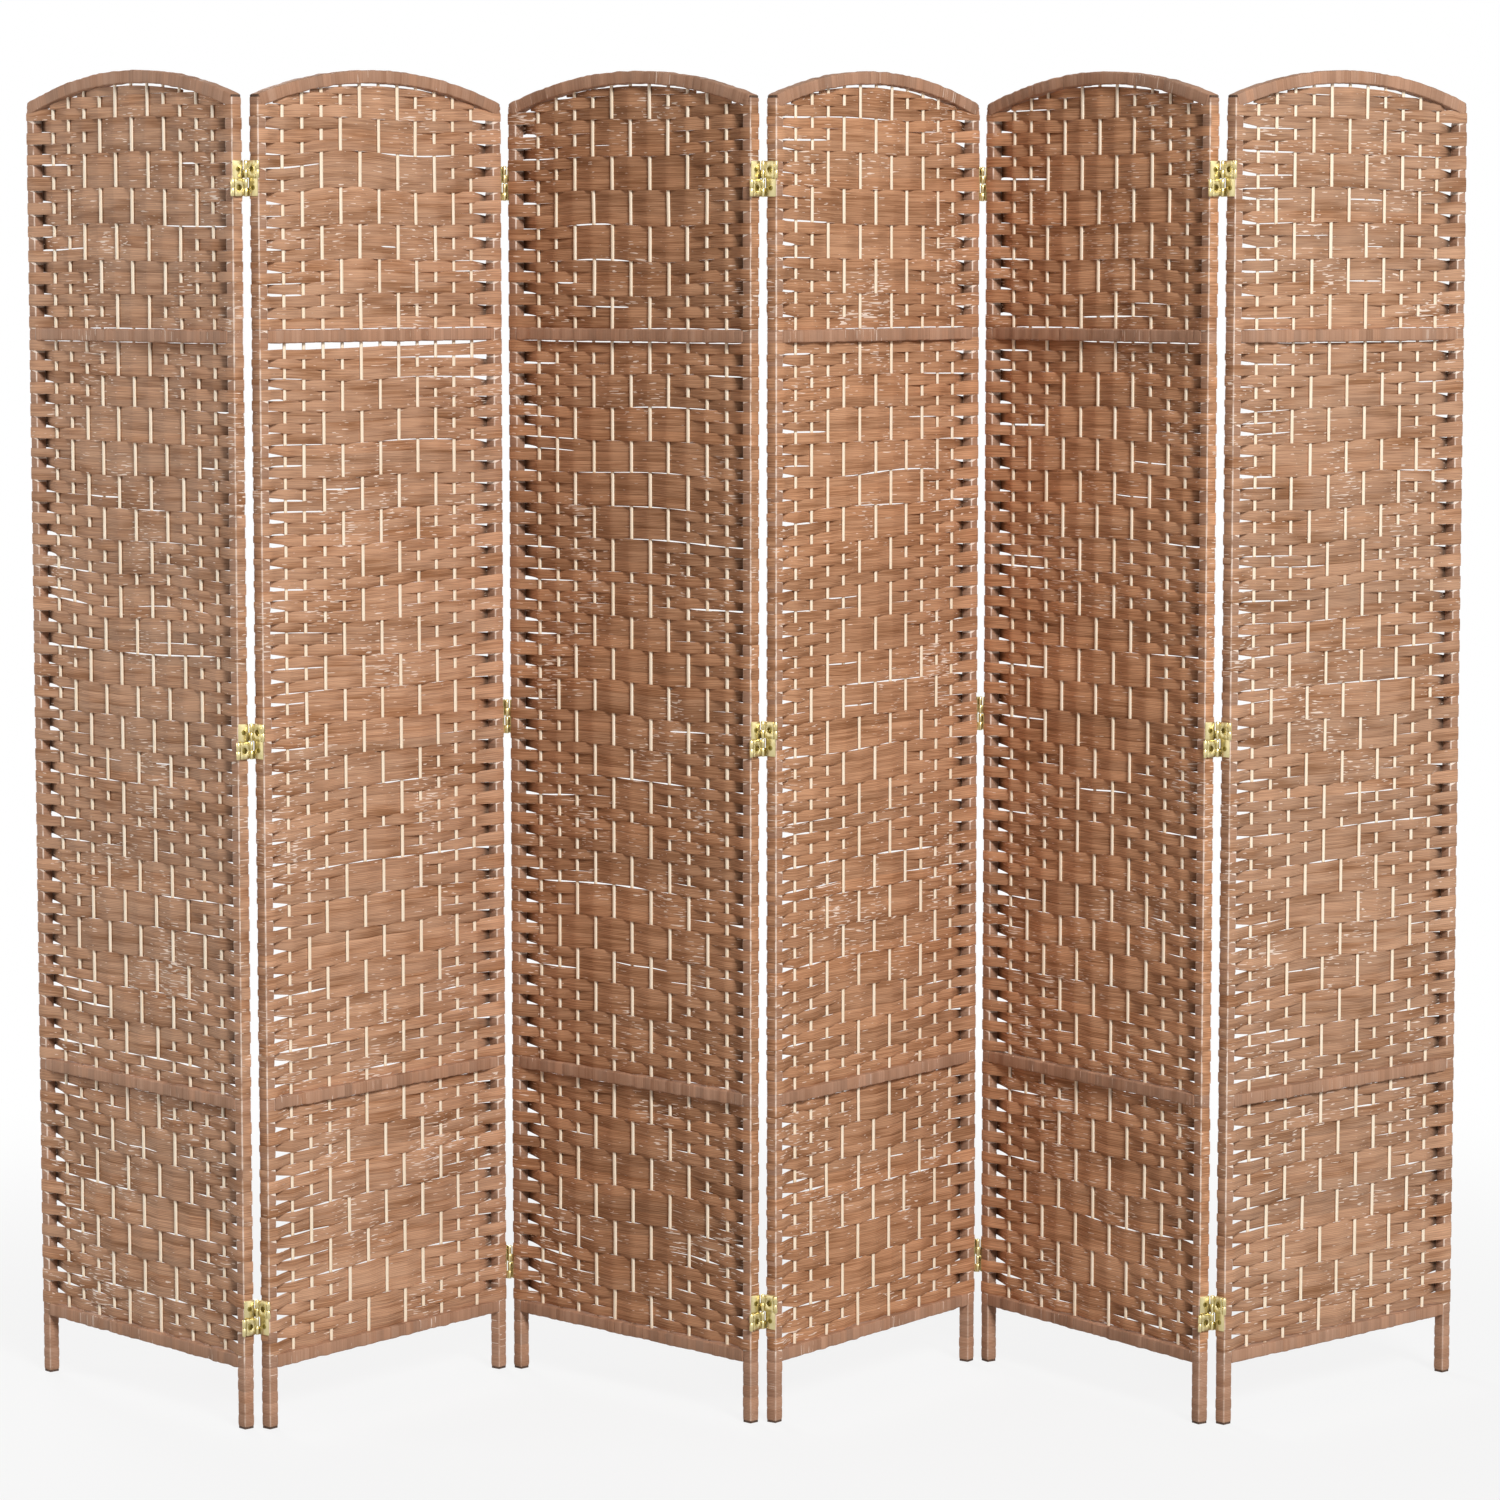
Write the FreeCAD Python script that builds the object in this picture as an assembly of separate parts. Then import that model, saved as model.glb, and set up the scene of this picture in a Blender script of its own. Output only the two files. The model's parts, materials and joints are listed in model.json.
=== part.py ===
import FreeCAD, Part
import math
import os

# Folding privacy screen: arched panels of woven strands on wooden frames, joined by
# double-acting hinges and standing in a zigzag. Millimetres and degrees.

# Frame of one panel. Each panel is drawn upright on the floor, centred on x = 0,
# with its front face towards -y, and is turned into its place afterwards.
overall_height = 1700.0
panel_width = 450.0
arch_rise = 36.0
member_width = 16.0
winding_thickness = 1.5
top_tip_length = 2.0
foot_tip_length = 3.0

# Rails: the upper one hangs a set distance below the crown, the others stand above the floor.
upper_rail_drop = 332.0
lower_rail_height = 412.0
bottom_rail_height = 85.0

# Weave: upright stakes, with the strands as one flat sleeve round them in each bay.
stake_count = 11
stake_width = 5.5
stake_thickness = 4.0
strand_thickness = 1.75
stake_clearance = 0.25
bay_clearance = 0.3

# Stance: how far each panel is turned out of the line of the screen.
stance_angles = (48.0, 51.5, 45.5, 53.5, 55.0, 43.0)

# Hinges: three on each fold, each with two leaves, two crossing links, pins and screws.
fold_gap = 7.0
pivot_offset = 2.0
hinge_height = 44.0
low_hinge_height = 142.0
middle_hinge_height = 868.0
top_hinge_drop = 138.0
half_gap = 1.0
leaf_thickness = 1.2
leaf_inset = 0.5
link_thickness = 1.2
knuckle_weld = 0.1
knuckle_clearance = 0.3
pin_radius = 1.2
running_clearance = 0.05
barrel_sides = 6
pin_sides = 6
access_hole_radius = 3.6
screw_sides = 6
screw_head_radius = 2.6
screw_shank_radius = 1.3
screw_length = 12.0

# Sizes that follow from the ones above
core_width = member_width - 2 * winding_thickness
post_height = overall_height - arch_rise
half_width = panel_width / 2
half_depth = member_width / 2
half_core = core_width / 2
post_centre = half_width - half_depth
inner_half = half_width - member_width
arch_radius = (half_width ** 2 + arch_rise ** 2) / (2 * arch_rise)
arch_centre = overall_height - arch_radius
upper_rail_height = overall_height - upper_rail_drop
rail_heights = (bottom_rail_height, lower_rail_height, upper_rail_height)
top_hinge_height = overall_height - top_hinge_drop
hinge_heights = (low_hinge_height, middle_hinge_height, top_hinge_height)
stake_pitch = 2 * inner_half / (stake_count + 1)
cavity_half = stake_thickness / 2 + stake_clearance
weave_half = cavity_half + strand_thickness
pivot_reach = half_width + fold_gap / 2
pivot_depth = half_depth + pivot_offset
half_height = (hinge_height - half_gap) / 2
barrel_flat = fold_gap / 2 - leaf_thickness + knuckle_weld
barrel_radius = barrel_flat / math.cos(math.pi / barrel_sides)
bore_radius = (pin_radius + running_clearance) / math.cos(math.pi / pin_sides)
panel_count = len(stance_angles)
last_panel = panel_count - 1


def block(x_low, x_high, y_low, y_high, z_low, z_high):
    """A box between two corners."""
    corner = FreeCAD.Vector(x_low, y_low, z_low)
    return Part.makeBox(x_high - x_low, y_high - y_low, z_high - z_low, corner)


def polygon_wire(sides, radius, height):
    """A regular polygon round the z axis, with a flat towards each of +x and -x where it can."""
    points = []
    for corner in range(sides + 1):
        angle = 2 * math.pi * (corner + 0.5) / sides
        points.append(FreeCAD.Vector(radius * math.cos(angle), radius * math.sin(angle), height))
    return Part.makePolygon(points)


def prism(sides, radius, x, y, z_low, z_high):
    """An upright bar of regular section."""
    face = Part.Face(polygon_wire(sides, radius, 0))
    bar = face.extrude(FreeCAD.Vector(0, 0, z_high - z_low))
    bar.translate(FreeCAD.Vector(x, y, z_low))
    return bar


def arch_edge(radius, reach):
    """An arc over the panel, and the height at which it ends."""
    end_height = arch_centre + math.sqrt(radius ** 2 - reach ** 2)
    start = FreeCAD.Vector(-reach, 0, end_height)
    crown = FreeCAD.Vector(0, 0, arch_centre + radius)
    end = FreeCAD.Vector(reach, 0, end_height)
    return Part.Arc(start, crown, end).toShape(), end_height


def arch_band(outer_radius, inner_radius, half_thickness):
    """A curved bar between the posts."""
    outer, outer_height = arch_edge(outer_radius, inner_half)
    inner, inner_height = arch_edge(inner_radius, inner_half)
    left = Part.makeLine(
        FreeCAD.Vector(-inner_half, 0, inner_height), FreeCAD.Vector(-inner_half, 0, outer_height))
    right = Part.makeLine(
        FreeCAD.Vector(inner_half, 0, outer_height), FreeCAD.Vector(inner_half, 0, inner_height))
    face = Part.Face(Part.Wire([outer, right, inner, left]))
    band = face.extrude(FreeCAD.Vector(0, 2 * half_thickness, 0))
    band.translate(FreeCAD.Vector(0, -half_thickness, 0))
    return band


def post(side):
    """A wooden post, from the floor to its bare tip."""
    x = side * post_centre
    return block(x - half_core, x + half_core, -half_core, half_core, 0, post_height)


def cross_rail(height):
    """A straight wooden rail between the posts."""
    return block(-inner_half, inner_half, -half_core, half_core, height - half_core, height + half_core)


def frame_winding():
    """The cord wound round both posts, the cross rails and the arched rail, as plain sleeves."""
    sleeves = []
    for side in (-1, 1):
        x = side * post_centre
        z_high = post_height - top_tip_length
        sleeve = block(x - half_depth, x + half_depth, -half_depth, half_depth, foot_tip_length, z_high)
        sleeves.append(sleeve.cut(post(side)))
    for height in rail_heights:
        sleeve = block(-inner_half, inner_half, -half_depth, half_depth,
                       height - half_depth, height + half_depth)
        sleeves.append(sleeve.cut(cross_rail(height)))
    sleeve = arch_band(arch_radius, arch_radius - member_width, half_depth)
    sleeves.append(sleeve.cut(arched_rail()))
    return sleeves


def arched_rail():
    """The bent wooden rail at the top, inside its winding."""
    outer_radius = arch_radius - winding_thickness
    return arch_band(outer_radius, outer_radius - core_width, half_core)


def bay_spans():
    """Floor and ceiling of each bay: two between cross rails, and one open to the arch."""
    spans = []
    for low, high in zip(rail_heights, rail_heights[1:] + (None,)):
        ceiling = None
        if high is not None:
            ceiling = high - half_depth
        spans.append((low + half_depth, ceiling))
    return spans


def arch_underside(x):
    """Height of the winding's underside above a place on the panel's width."""
    return arch_centre + math.sqrt((arch_radius - member_width) ** 2 - x ** 2)


def stakes():
    """Upright stakes standing between the rails of each bay."""
    sticks = []
    for z_low, z_high in bay_spans():
        for column in range(stake_count):
            x = (column + 1) * stake_pitch - inner_half
            top = z_high
            if top is None:
                top = arch_underside(abs(x) + stake_width / 2)
            sticks.append(block(x - stake_width / 2, x + stake_width / 2,
                                -stake_thickness / 2, stake_thickness / 2,
                                z_low, top))
    return sticks


def weave():
    """The woven strands of each bay, as one flat sleeve in front of and behind the stakes."""
    reach = inner_half - bay_clearance
    sheets = []
    for z_low, z_high in bay_spans():
        floor = z_low + bay_clearance
        if z_high is None:
            ceiling_edge, edge_height = arch_edge(arch_radius - member_width - bay_clearance, reach)
            low_left = FreeCAD.Vector(-reach, 0, floor)
            low_right = FreeCAD.Vector(reach, 0, floor)
            high_left = FreeCAD.Vector(-reach, 0, edge_height)
            high_right = FreeCAD.Vector(reach, 0, edge_height)
            outline = Part.Wire([
                ceiling_edge,
                Part.makeLine(high_right, low_right),
                Part.makeLine(low_right, low_left),
                Part.makeLine(low_left, high_left)])
            sheet = Part.Face(outline).extrude(FreeCAD.Vector(0, 2 * weave_half, 0))
            sheet.translate(FreeCAD.Vector(0, -weave_half, 0))
        else:
            sheet = block(-reach, reach, -weave_half, weave_half, floor, z_high - bay_clearance)
        cavity_reach = reach - strand_thickness
        cavity = block(-cavity_reach, cavity_reach, -cavity_half, cavity_half, z_low, overall_height)
        sheets.append(sheet.cut(cavity))
    return sheets


def is_near(fold):
    """Every other fold points forward, starting with the first, and turns on its back axis."""
    return fold % 2 == 0


def half_span(height, upper):
    """Bottom and top of the upper or lower half of a hinge."""
    if upper:
        z_low = height + half_gap / 2
    else:
        z_low = height - half_gap / 2 - half_height
    return z_low, z_low + half_height


def knuckle_spans(height, upper):
    """In each half the leaf has the lower knuckle and the link the one above it."""
    z_low, z_high = half_span(height, upper)
    middle = (z_low + z_high) / 2
    leaf_span = (z_low, middle - knuckle_clearance / 2)
    link_span = (middle + knuckle_clearance / 2, z_high)
    return leaf_span, link_span


def barrel_side(side, upper):
    """The leaf on the left panel is pivoted at the back above and at the front below,
    and the leaf on the right panel the other way round."""
    if upper:
        return side
    return -side


def knuckle(x, depth, span):
    """A rolled knuckle round a pivot."""
    return prism(barrel_sides, barrel_radius, x, depth, span[0], span[1])


def working_side(fold):
    """A fold that points forward turns on its back pivots, the others on their front pivots."""
    if is_near(fold):
        return 1
    return -1


def hinge_leaf(side, fold, height):
    """One leaf on the edge of a post, with a knuckle behind and one in front."""
    edge = side * half_width
    face = side * (half_width + leaf_thickness)
    pivot = side * pivot_reach
    x_low, x_high = min(edge, face), max(edge, face)
    leaf_half = half_depth - leaf_inset
    pieces = [block(x_low, x_high, -leaf_half, leaf_half,
                    height - hinge_height / 2, height + hinge_height / 2)]
    for upper in (True, False):
        span = knuckle_spans(height, upper)[0]
        depth = barrel_side(side, upper) * pivot_depth
        y_low, y_high = min(0, depth), max(0, depth)
        pieces.append(block(x_low, x_high, y_low, y_high, span[0], span[1]))
        pieces.append(knuckle(pivot, depth, span))
    leaf = pieces[0].multiFuse(pieces[1:])
    bore = prism(pin_sides, bore_radius, pivot, working_side(fold) * pivot_depth,
                 height - hinge_height / 2, height + hinge_height / 2)
    return leaf.cut(bore).removeSplitter()


def carries_link(side, fold, upper):
    """A link rides with the leaf that it isn't turning on."""
    return barrel_side(side, upper) != working_side(fold)


def hinge_link(side, fold, height, upper):
    """A link in the middle of the gap, from the front pivot to the back pivot."""
    pivot = side * pivot_reach
    z_low, z_high = half_span(height, upper)
    link_span = knuckle_spans(height, upper)[1]
    notch = pivot_depth - barrel_radius - knuckle_clearance
    half_plate = link_thickness / 2
    plate = block(pivot - half_plate, pivot + half_plate, -notch, notch, z_low, z_high)
    middle = (z_low + z_high) / 2
    hole = prism(screw_sides, access_hole_radius, 0, 0, -fold_gap, fold_gap)
    hole.rotate(FreeCAD.Vector(0, 0, 0), FreeCAD.Vector(0, 1, 0), 90)
    hole.translate(FreeCAD.Vector(pivot, 0, middle))
    pieces = []
    for depth_side in (-1, 1):
        depth = depth_side * pivot_depth
        y_low, y_high = min(0, depth), max(0, depth)
        pieces.append(block(pivot - half_plate, pivot + half_plate, y_low, y_high,
                            link_span[0], link_span[1]))
        pieces.append(knuckle(pivot, depth, link_span))
    link = plate.multiFuse(pieces).cut(hole)
    return link.cut(hinge_pin(side, fold, height, upper)).removeSplitter()


def hinge_pin(side, fold, height, upper):
    """The pin of a working pivot, held by its link and turning in the knuckle of the other panel's leaf."""
    z_low, z_high = half_span(height, upper)
    depth = working_side(fold) * pivot_depth
    return prism(pin_sides, pin_radius, side * pivot_reach, depth, z_low, z_high)


def hinge_screw(side, height):
    """A countersunk screw, flush with its leaf and driven into the post."""
    head_depth = leaf_thickness
    rings = [polygon_wire(screw_sides, screw_head_radius, 0),
             polygon_wire(screw_sides, screw_shank_radius, head_depth),
             Part.Vertex(0, 0, screw_length)]
    screw = Part.makeLoft(rings, True, True)
    screw.rotate(FreeCAD.Vector(0, 0, 0), FreeCAD.Vector(0, 1, 0), -90 * side)
    screw.translate(FreeCAD.Vector(side * (half_width + leaf_thickness), 0, height))
    return screw


def panel_folds(panel):
    """The folds of a panel, each with the side of the panel that it is on."""
    folds = []
    if panel > 0:
        folds.append((-1, panel - 1))
    if panel < last_panel:
        folds.append((1, panel))
    return folds


def panel_nodes(panel):
    """Every piece of one panel, under the name of its node."""
    leaves = []
    links = []
    pins = []
    screws = []
    for side, fold in panel_folds(panel):
        for height in hinge_heights:
            leaves.append(hinge_leaf(side, fold, height))
            for upper in (True, False):
                z_low, z_high = half_span(height, upper)
                screws.append(hinge_screw(side, (z_low + z_high) / 2))
                if carries_link(side, fold, upper):
                    links.append(hinge_link(side, fold, height, upper))
                    pins.append(hinge_pin(side, fold, height, upper))
    rails = []
    for height in rail_heights:
        rails.append(cross_rail(height))
    return {
        "posts": [post(-1), post(1)],
        "arched_top_rail": [arched_rail()],
        "cross_rails": rails,
        "frame_winding": frame_winding(),
        "stakes": stakes(),
        "weave": weave(),
        "hinge_leaves": leaves,
        "hinge_links": links,
        "hinge_pins": pins,
        "hinge_screws": screws,
    }


def pivot_place(side, fold):
    """Where a fold's pivot stands on a panel, seen in that panel's own frame."""
    return FreeCAD.Vector(side * pivot_reach, working_side(fold) * pivot_depth, 0)


def panel_turn(panel):
    """The first panel comes towards the front as it goes right, the next one goes away, and so on."""
    sense = 1 if panel % 2 else -1
    return FreeCAD.Rotation(FreeCAD.Vector(0, 0, 1), sense * stance_angles[panel])


def panel_placements():
    """Each panel hangs on the pivot of the one before it."""
    placements = [FreeCAD.Placement(FreeCAD.Vector(0, 0, 0), panel_turn(0))]
    for fold in range(last_panel):
        pivot = placements[fold].multVec(pivot_place(1, fold))
        turn = panel_turn(fold + 1)
        base = pivot - turn.multVec(pivot_place(-1, fold))
        placements.append(FreeCAD.Placement(base, turn))
    return placements


def place(shape, placement):
    """A copy of a piece, turned and moved into its place."""
    return shape.transformed(placement.toMatrix(), True)


def main():
    """Build the panels, stand them in their zigzag over the origin and write one file for each node."""
    placements = panel_placements()
    nodes = {}
    for panel in range(panel_count):
        for name, solids in panel_nodes(panel).items():
            placed = [place(solid, placements[panel]) for solid in solids]
            nodes["panel_%d_%s" % (panel + 1, name)] = placed
    everything = Part.makeCompound([solid for solids in nodes.values() for solid in solids])
    box = everything.BoundBox
    centring = FreeCAD.Vector(-(box.XMin + box.XMax) / 2, -(box.YMin + box.YMax) / 2, 0)
    os.makedirs("parts", exist_ok=True)
    for name, solids in nodes.items():
        compound = Part.makeCompound(solids)
        compound.translate(centring)
        compound.exportStep("parts/%s.step" % name)
    print("box", round(box.XLength, 3), round(box.YLength, 3), round(box.ZMax, 3))
    for fold in range(last_panel):
        pivot = placements[fold].multVec(pivot_place(1, fold)) + centring
        angle = stance_angles[fold] + stance_angles[fold + 1]
        print("fold", fold + 1, fold + 2, "pivot", round(pivot.x, 4), round(pivot.y, 4), "folded by", angle)
    for panel in range(panel_count):
        base = placements[panel].Base + centring
        print("panel", panel + 1, "centre", round(base.x, 4), round(base.y, 4))


main()
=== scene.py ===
"""Looks of a folding privacy screen: woven paper strands, wound frames, wooden stakes and brass hinges."""
import json
import math
from typing import NamedTuple

import bpy
import numpy as np
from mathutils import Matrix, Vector

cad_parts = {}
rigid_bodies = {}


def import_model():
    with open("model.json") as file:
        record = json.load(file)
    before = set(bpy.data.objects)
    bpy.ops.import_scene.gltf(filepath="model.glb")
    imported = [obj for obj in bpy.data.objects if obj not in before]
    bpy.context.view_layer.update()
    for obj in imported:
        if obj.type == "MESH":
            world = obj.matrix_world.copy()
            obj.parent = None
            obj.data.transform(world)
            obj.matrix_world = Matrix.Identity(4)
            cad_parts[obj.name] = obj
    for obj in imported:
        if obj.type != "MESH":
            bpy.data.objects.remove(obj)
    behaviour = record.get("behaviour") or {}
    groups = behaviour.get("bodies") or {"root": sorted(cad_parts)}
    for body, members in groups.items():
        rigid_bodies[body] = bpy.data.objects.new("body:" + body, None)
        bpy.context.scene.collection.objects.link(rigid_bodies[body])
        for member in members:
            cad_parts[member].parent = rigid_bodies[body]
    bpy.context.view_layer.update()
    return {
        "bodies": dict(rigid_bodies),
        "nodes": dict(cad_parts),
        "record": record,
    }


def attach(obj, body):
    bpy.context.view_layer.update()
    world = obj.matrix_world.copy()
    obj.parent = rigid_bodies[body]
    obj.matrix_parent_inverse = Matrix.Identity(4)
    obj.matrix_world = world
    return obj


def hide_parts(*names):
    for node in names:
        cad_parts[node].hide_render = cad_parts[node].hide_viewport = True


bl_info = {
    "name": "Folding privacy screen",
    "version": (1, 0, 0),
    "blender": (4, 5, 0),
    "location": "View3D > Sidebar > Screen",
    "description": "Builds the weave, windings, stakes, hinges and stage of a folding screen round its frame",
    "category": "Object",
}

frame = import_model()


class ScreenPanel:
    """One panel's own axes as it stands in the zigzag: x across it, y to its back and z up."""

    def __init__(self, body):
        feet = {mount["name"]: Vector(mount["pos_m"]) for mount in frame["record"]["mounts"]}
        left = feet[body + "_left_foot"]
        right = feet[body + "_right_foot"]
        self.body = body
        self.number = int(body.split("_")[1])
        self.centre = np.array((left + right) / 2)
        self.across = np.array((right - left).normalized())
        self.back = np.array((-self.across[1], self.across[0], 0.0))
        self.faces_left = self.across[1] < 0

    def node(self, kind):
        """The name of one of the panel's nodes."""
        return "%s_%s" % (self.body, kind)

    def place(self, points):
        """Points of the panel's own axes, in the screen's frame."""
        points = np.asarray(points, float)
        moved = self.centre + points[..., 0:1] * self.across + points[..., 1:2] * self.back
        moved[..., 2] = points[..., 2]
        return moved

    def local(self, point):
        """A point of the screen's frame, in the panel's own axes."""
        offset = np.asarray(point, float) - self.centre
        return np.array((offset @ self.across, offset @ self.back, point[2]))

    def corners(self, kind):
        """The corners of a node, in the panel's own axes."""
        mesh = frame["nodes"][self.node(kind)].data
        return np.array([self.local(vertex.co) for vertex in mesh.vertices])


def levels(values):
    """The different values in a list of coordinates, in rising order."""
    return sorted(set(np.round(values, 4).tolist()))


def spans(values, gap=0.1):
    """Lowest and highest value of each cluster of coordinates that are nearer than a gap."""
    values = levels(values)
    breaks = [place for place in range(1, len(values)) if values[place] - values[place - 1] > gap]
    starts = [0, *breaks]
    ends = [*breaks, len(values)]
    return [(values[start], values[end - 1]) for start, end in zip(starts, ends)]


PANELS = [ScreenPanel(body) for body in sorted(frame["bodies"])]

# Sizes of one panel, read from the frame. All panels are alike.
sample = PANELS[1]
winding_corners = sample.corners("frame_winding")
HALF_WIDTH = winding_corners[:, 0].max()
HALF_DEPTH = winding_corners[:, 1].max()
CROWN = winding_corners[:, 2].max()
WINDING_FOOT = winding_corners[:, 2].min()
POST_TOP = sample.corners("posts")[:, 2].max()
INNER_HALF = HALF_WIDTH - 2 * HALF_DEPTH
ARCH_RISE = CROWN - POST_TOP
ARCH_RADIUS = (HALF_WIDTH ** 2 + ARCH_RISE ** 2) / (2 * ARCH_RISE)
ARCH_CENTRE = CROWN - ARCH_RADIUS
rail_levels = levels(sample.corners("cross_rails")[:, 2])
RAIL_HEIGHTS = [(low + high) / 2 for low, high in zip(rail_levels[0::2], rail_levels[1::2])]
ARCHED_BAY = len(RAIL_HEIGHTS) - 1
stake_levels = levels(sample.corners("stakes")[:, 0])
STAKE_COLUMNS = [(low + high) / 2 for low, high in zip(stake_levels[0::2], stake_levels[1::2])]
STAKE_WIDTH = stake_levels[1] - stake_levels[0]
STAKE_HALF_DEPTH = sample.corners("stakes")[:, 1].max()
leaf_corners = sample.corners("hinge_leaves")
tolerance = 0.0001
at_leaf = np.abs(leaf_corners[:, 0]) < HALF_WIDTH + tolerance
LEAF_HALF = np.abs(leaf_corners[at_leaf][:, 1]).min()
HINGE_SPANS = spans(leaf_corners[:, 2])

# The weave's pattern: a diamond of seven groups of three rows, then one plain row
GROUP_ROWS = 3
DIAMOND_GROUPS = 7
REPEAT_ROWS = DIAMOND_GROUPS * GROUP_ROWS + 1
MIDDLE_COLUMN = (len(STAKE_COLUMNS) + 1) // 2
BAY_ROWS = (21, 67, 21)
BAY_NAMES = ("lower", "middle", "upper")

# The rows that have slipped: their panel and bay, how many there are, the share of the slip that the first
# row has at its middle and how much that changes to its ends, and the edges that came open, with their shares
SLIPPED_BAY = (2, 1)
SLIPPED_ROWS = 8
FIRST_ROW_SLIP = 0.65
FIRST_ROW_TILT = 0.45
SLIP_OPENINGS = {1: 0.6, 3: 0.3}

# Least and most of what chance decides: shares of a slit's height and of half a panel's width for the slit
# under the arch, of a strand's pinch, of the bare wedge on a post and of a stake's width, then the tone of a
# strand and the place where its streaks start
ARCH_SLIT_HEIGHTS = (0.9, 1.7)
ARCH_SLIT_MIDDLES = (-0.1, 0.2)
ARCH_SLIT_REACHES = (0.5, 0.75)
PINCH_SHARES = (0.25, 1.15)
WEDGE_SHARES = (0.3, 1.0)
STAKE_SHARES = (0.88, 1.04)
TONES = (0.1, 0.9)
STREAK_STARTS = (0, 5)

# Numbers that keep the random draws of the pieces apart
STAKE_STREAM = 100
STRAND_STREAM = 200
WINDING_STREAM = 300

# Level of the noise above which a strand has a pale fleck
WOVEN_FLECK_LIMIT = 0.778
WOUND_FLECK_LIMIT = 0.84

# Values that each point of a strand holds for its material. The last one is painted shade: how much
# the cord's colour is darkened where it turns behind a post or a stake.
CORD_VALUES = ("along", "across", "tone", "rub", "bare", "recess")

# Edges that turn by more than this stay sharp
SHARP_ANGLE = math.radians(50)

# Width of the camera's sensor, in millimetres
SENSOR_WIDTH = 36.0
X_AXIS, Y_AXIS, Z_AXIS = np.eye(3)


class StrandProperties(bpy.types.PropertyGroup):
    """Sizes and colours of the woven strands and of the stakes that they pass."""

    thickness: bpy.props.FloatProperty(
        name="Strand thickness", description="Thickness of one flat strand",
        default=0.0011, unit="LENGTH")
    crown: bpy.props.FloatProperty(
        name="Strand crown", description="How far the middle of a strand stands out from its edges",
        default=0.0002, unit="LENGTH")
    slack: bpy.props.FloatProperty(
        name="Strand slack", description="How far a strand bows out from the stakes that it passes",
        default=0.0002, unit="LENGTH")
    overlap: bpy.props.FloatProperty(
        name="Overlap", description="How far a row usually overlaps the next one",
        default=0.0006, unit="LENGTH")
    slit: bpy.props.FloatProperty(
        name="Slit", description="Height of which each slit between rows has a share",
        default=0.0028, unit="LENGTH")
    looseness: bpy.props.FloatVectorProperty(
        name="Looseness", description="How loosely the rows of each panel are packed",
        default=(0.8, 0.9, 0.7, 0.7, 0.6, 1.0), size=6)
    slip: bpy.props.FloatProperty(
        name="Slip", description="How far the first rows under the second panel's upper rail have slid down",
        default=0.0075, unit="LENGTH")
    wander: bpy.props.FloatProperty(
        name="Row wander", description="How far a row strays from its level",
        default=0.0013, unit="LENGTH")
    pinch: bpy.props.FloatProperty(
        name="Pinch at the posts",
        description="Share of its height that a strand loses where it goes behind a post",
        default=0.30, subtype="FACTOR", min=0, max=1)
    flare: bpy.props.FloatProperty(
        name="Flare at the posts",
        description="How far a strand spreads up in front of the right post of a panel that faces right",
        default=0.0028, unit="LENGTH")
    stake_flatness: bpy.props.FloatProperty(
        name="Stake flatness", description="Depth of a stake as a share of the room that the frame gives it",
        default=0.8, subtype="FACTOR", min=0, max=1)
    left_turn: bpy.props.FloatVectorProperty(
        name="Turn, facing left",
        description="How late strands turn at the two posts of a panel that faces left",
        default=(1.0, 1.4), size=2, min=1)
    right_turn: bpy.props.FloatVectorProperty(
        name="Turn, facing right",
        description="How late strands turn at the two posts of a panel that faces right",
        default=(1.3, 1.0), size=2, min=1)
    lightness: bpy.props.FloatVectorProperty(
        name="Lightness", description="How much lighter than usual the strands of each panel are",
        default=(-0.1, 0.04, -0.1, 0.06, 0.48, -0.27), size=6)
    wear: bpy.props.FloatVectorProperty(
        name="Wear", description="How pale the strands of each panel are worn",
        default=(0.08, 0.085, 0.0, 0.01, 0.0, 0.08), size=6)
    # Painted shade: the two dive lengths set how far along its ends the strand's colour is darkened behind
    # the posts.
    left_dive_shade: bpy.props.FloatVectorProperty(
        name="Dive, facing left",
        description="Length of the dark ends behind the posts of a panel that faces left",
        default=(0.020, 0.026), size=2, unit="LENGTH")
    right_dive_shade: bpy.props.FloatVectorProperty(
        name="Dive, facing right",
        description="Length of the dark ends behind the posts of a panel that faces right",
        default=(0.001, 0.020), size=2, unit="LENGTH")
    left_pinch: bpy.props.FloatVectorProperty(
        name="Pinch, facing left",
        description="How much of the pinch the posts of a panel that faces left have",
        default=(0.7, 0.0), size=2)
    right_pinch: bpy.props.FloatVectorProperty(
        name="Pinch, facing right",
        description="How much of the pinch the posts of a panel that faces right have",
        default=(1.5, 1.0), size=2)
    # Painted shade: how much the strand's colour is darkened where it lies back to pass behind a stake.
    valley_painted_shade: bpy.props.FloatProperty(
        name="Valley shade", description="How dark a strand is where it turns behind a stake",
        default=0.3, subtype="FACTOR", min=0, max=1)
    seed: bpy.props.IntProperty(
        name="Seed", description="Seed of the weave's unevenness",
        default=7)
    colour: bpy.props.FloatVectorProperty(
        name="Strand colour", description="Colour of the paper cord",
        default=(0.637, 0.337, 0.186), subtype="COLOR")
    shade_colour: bpy.props.FloatVectorProperty(
        name="Strand shade", description="Colour of the darker streaks along the cord",
        default=(0.331, 0.150, 0.0695), subtype="COLOR")
    # The rubbed edges in this colour are partly wear and partly a painted highlight on the corners.
    pale_colour: bpy.props.FloatVectorProperty(
        name="Strand fleck", description="Colour of the pale flecks, rubbed edges and bare places",
        default=(0.95, 0.80, 0.68), subtype="COLOR")
    stake_colour: bpy.props.FloatVectorProperty(
        name="Stake colour", description="Colour of the pale wooden stakes",
        default=(0.99, 0.87, 0.70), subtype="COLOR")
    stake_edge_colour: bpy.props.FloatVectorProperty(
        name="Stake grain", description="Colour of the stakes' grain",
        default=(0.92, 0.74, 0.52), subtype="COLOR")


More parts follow.
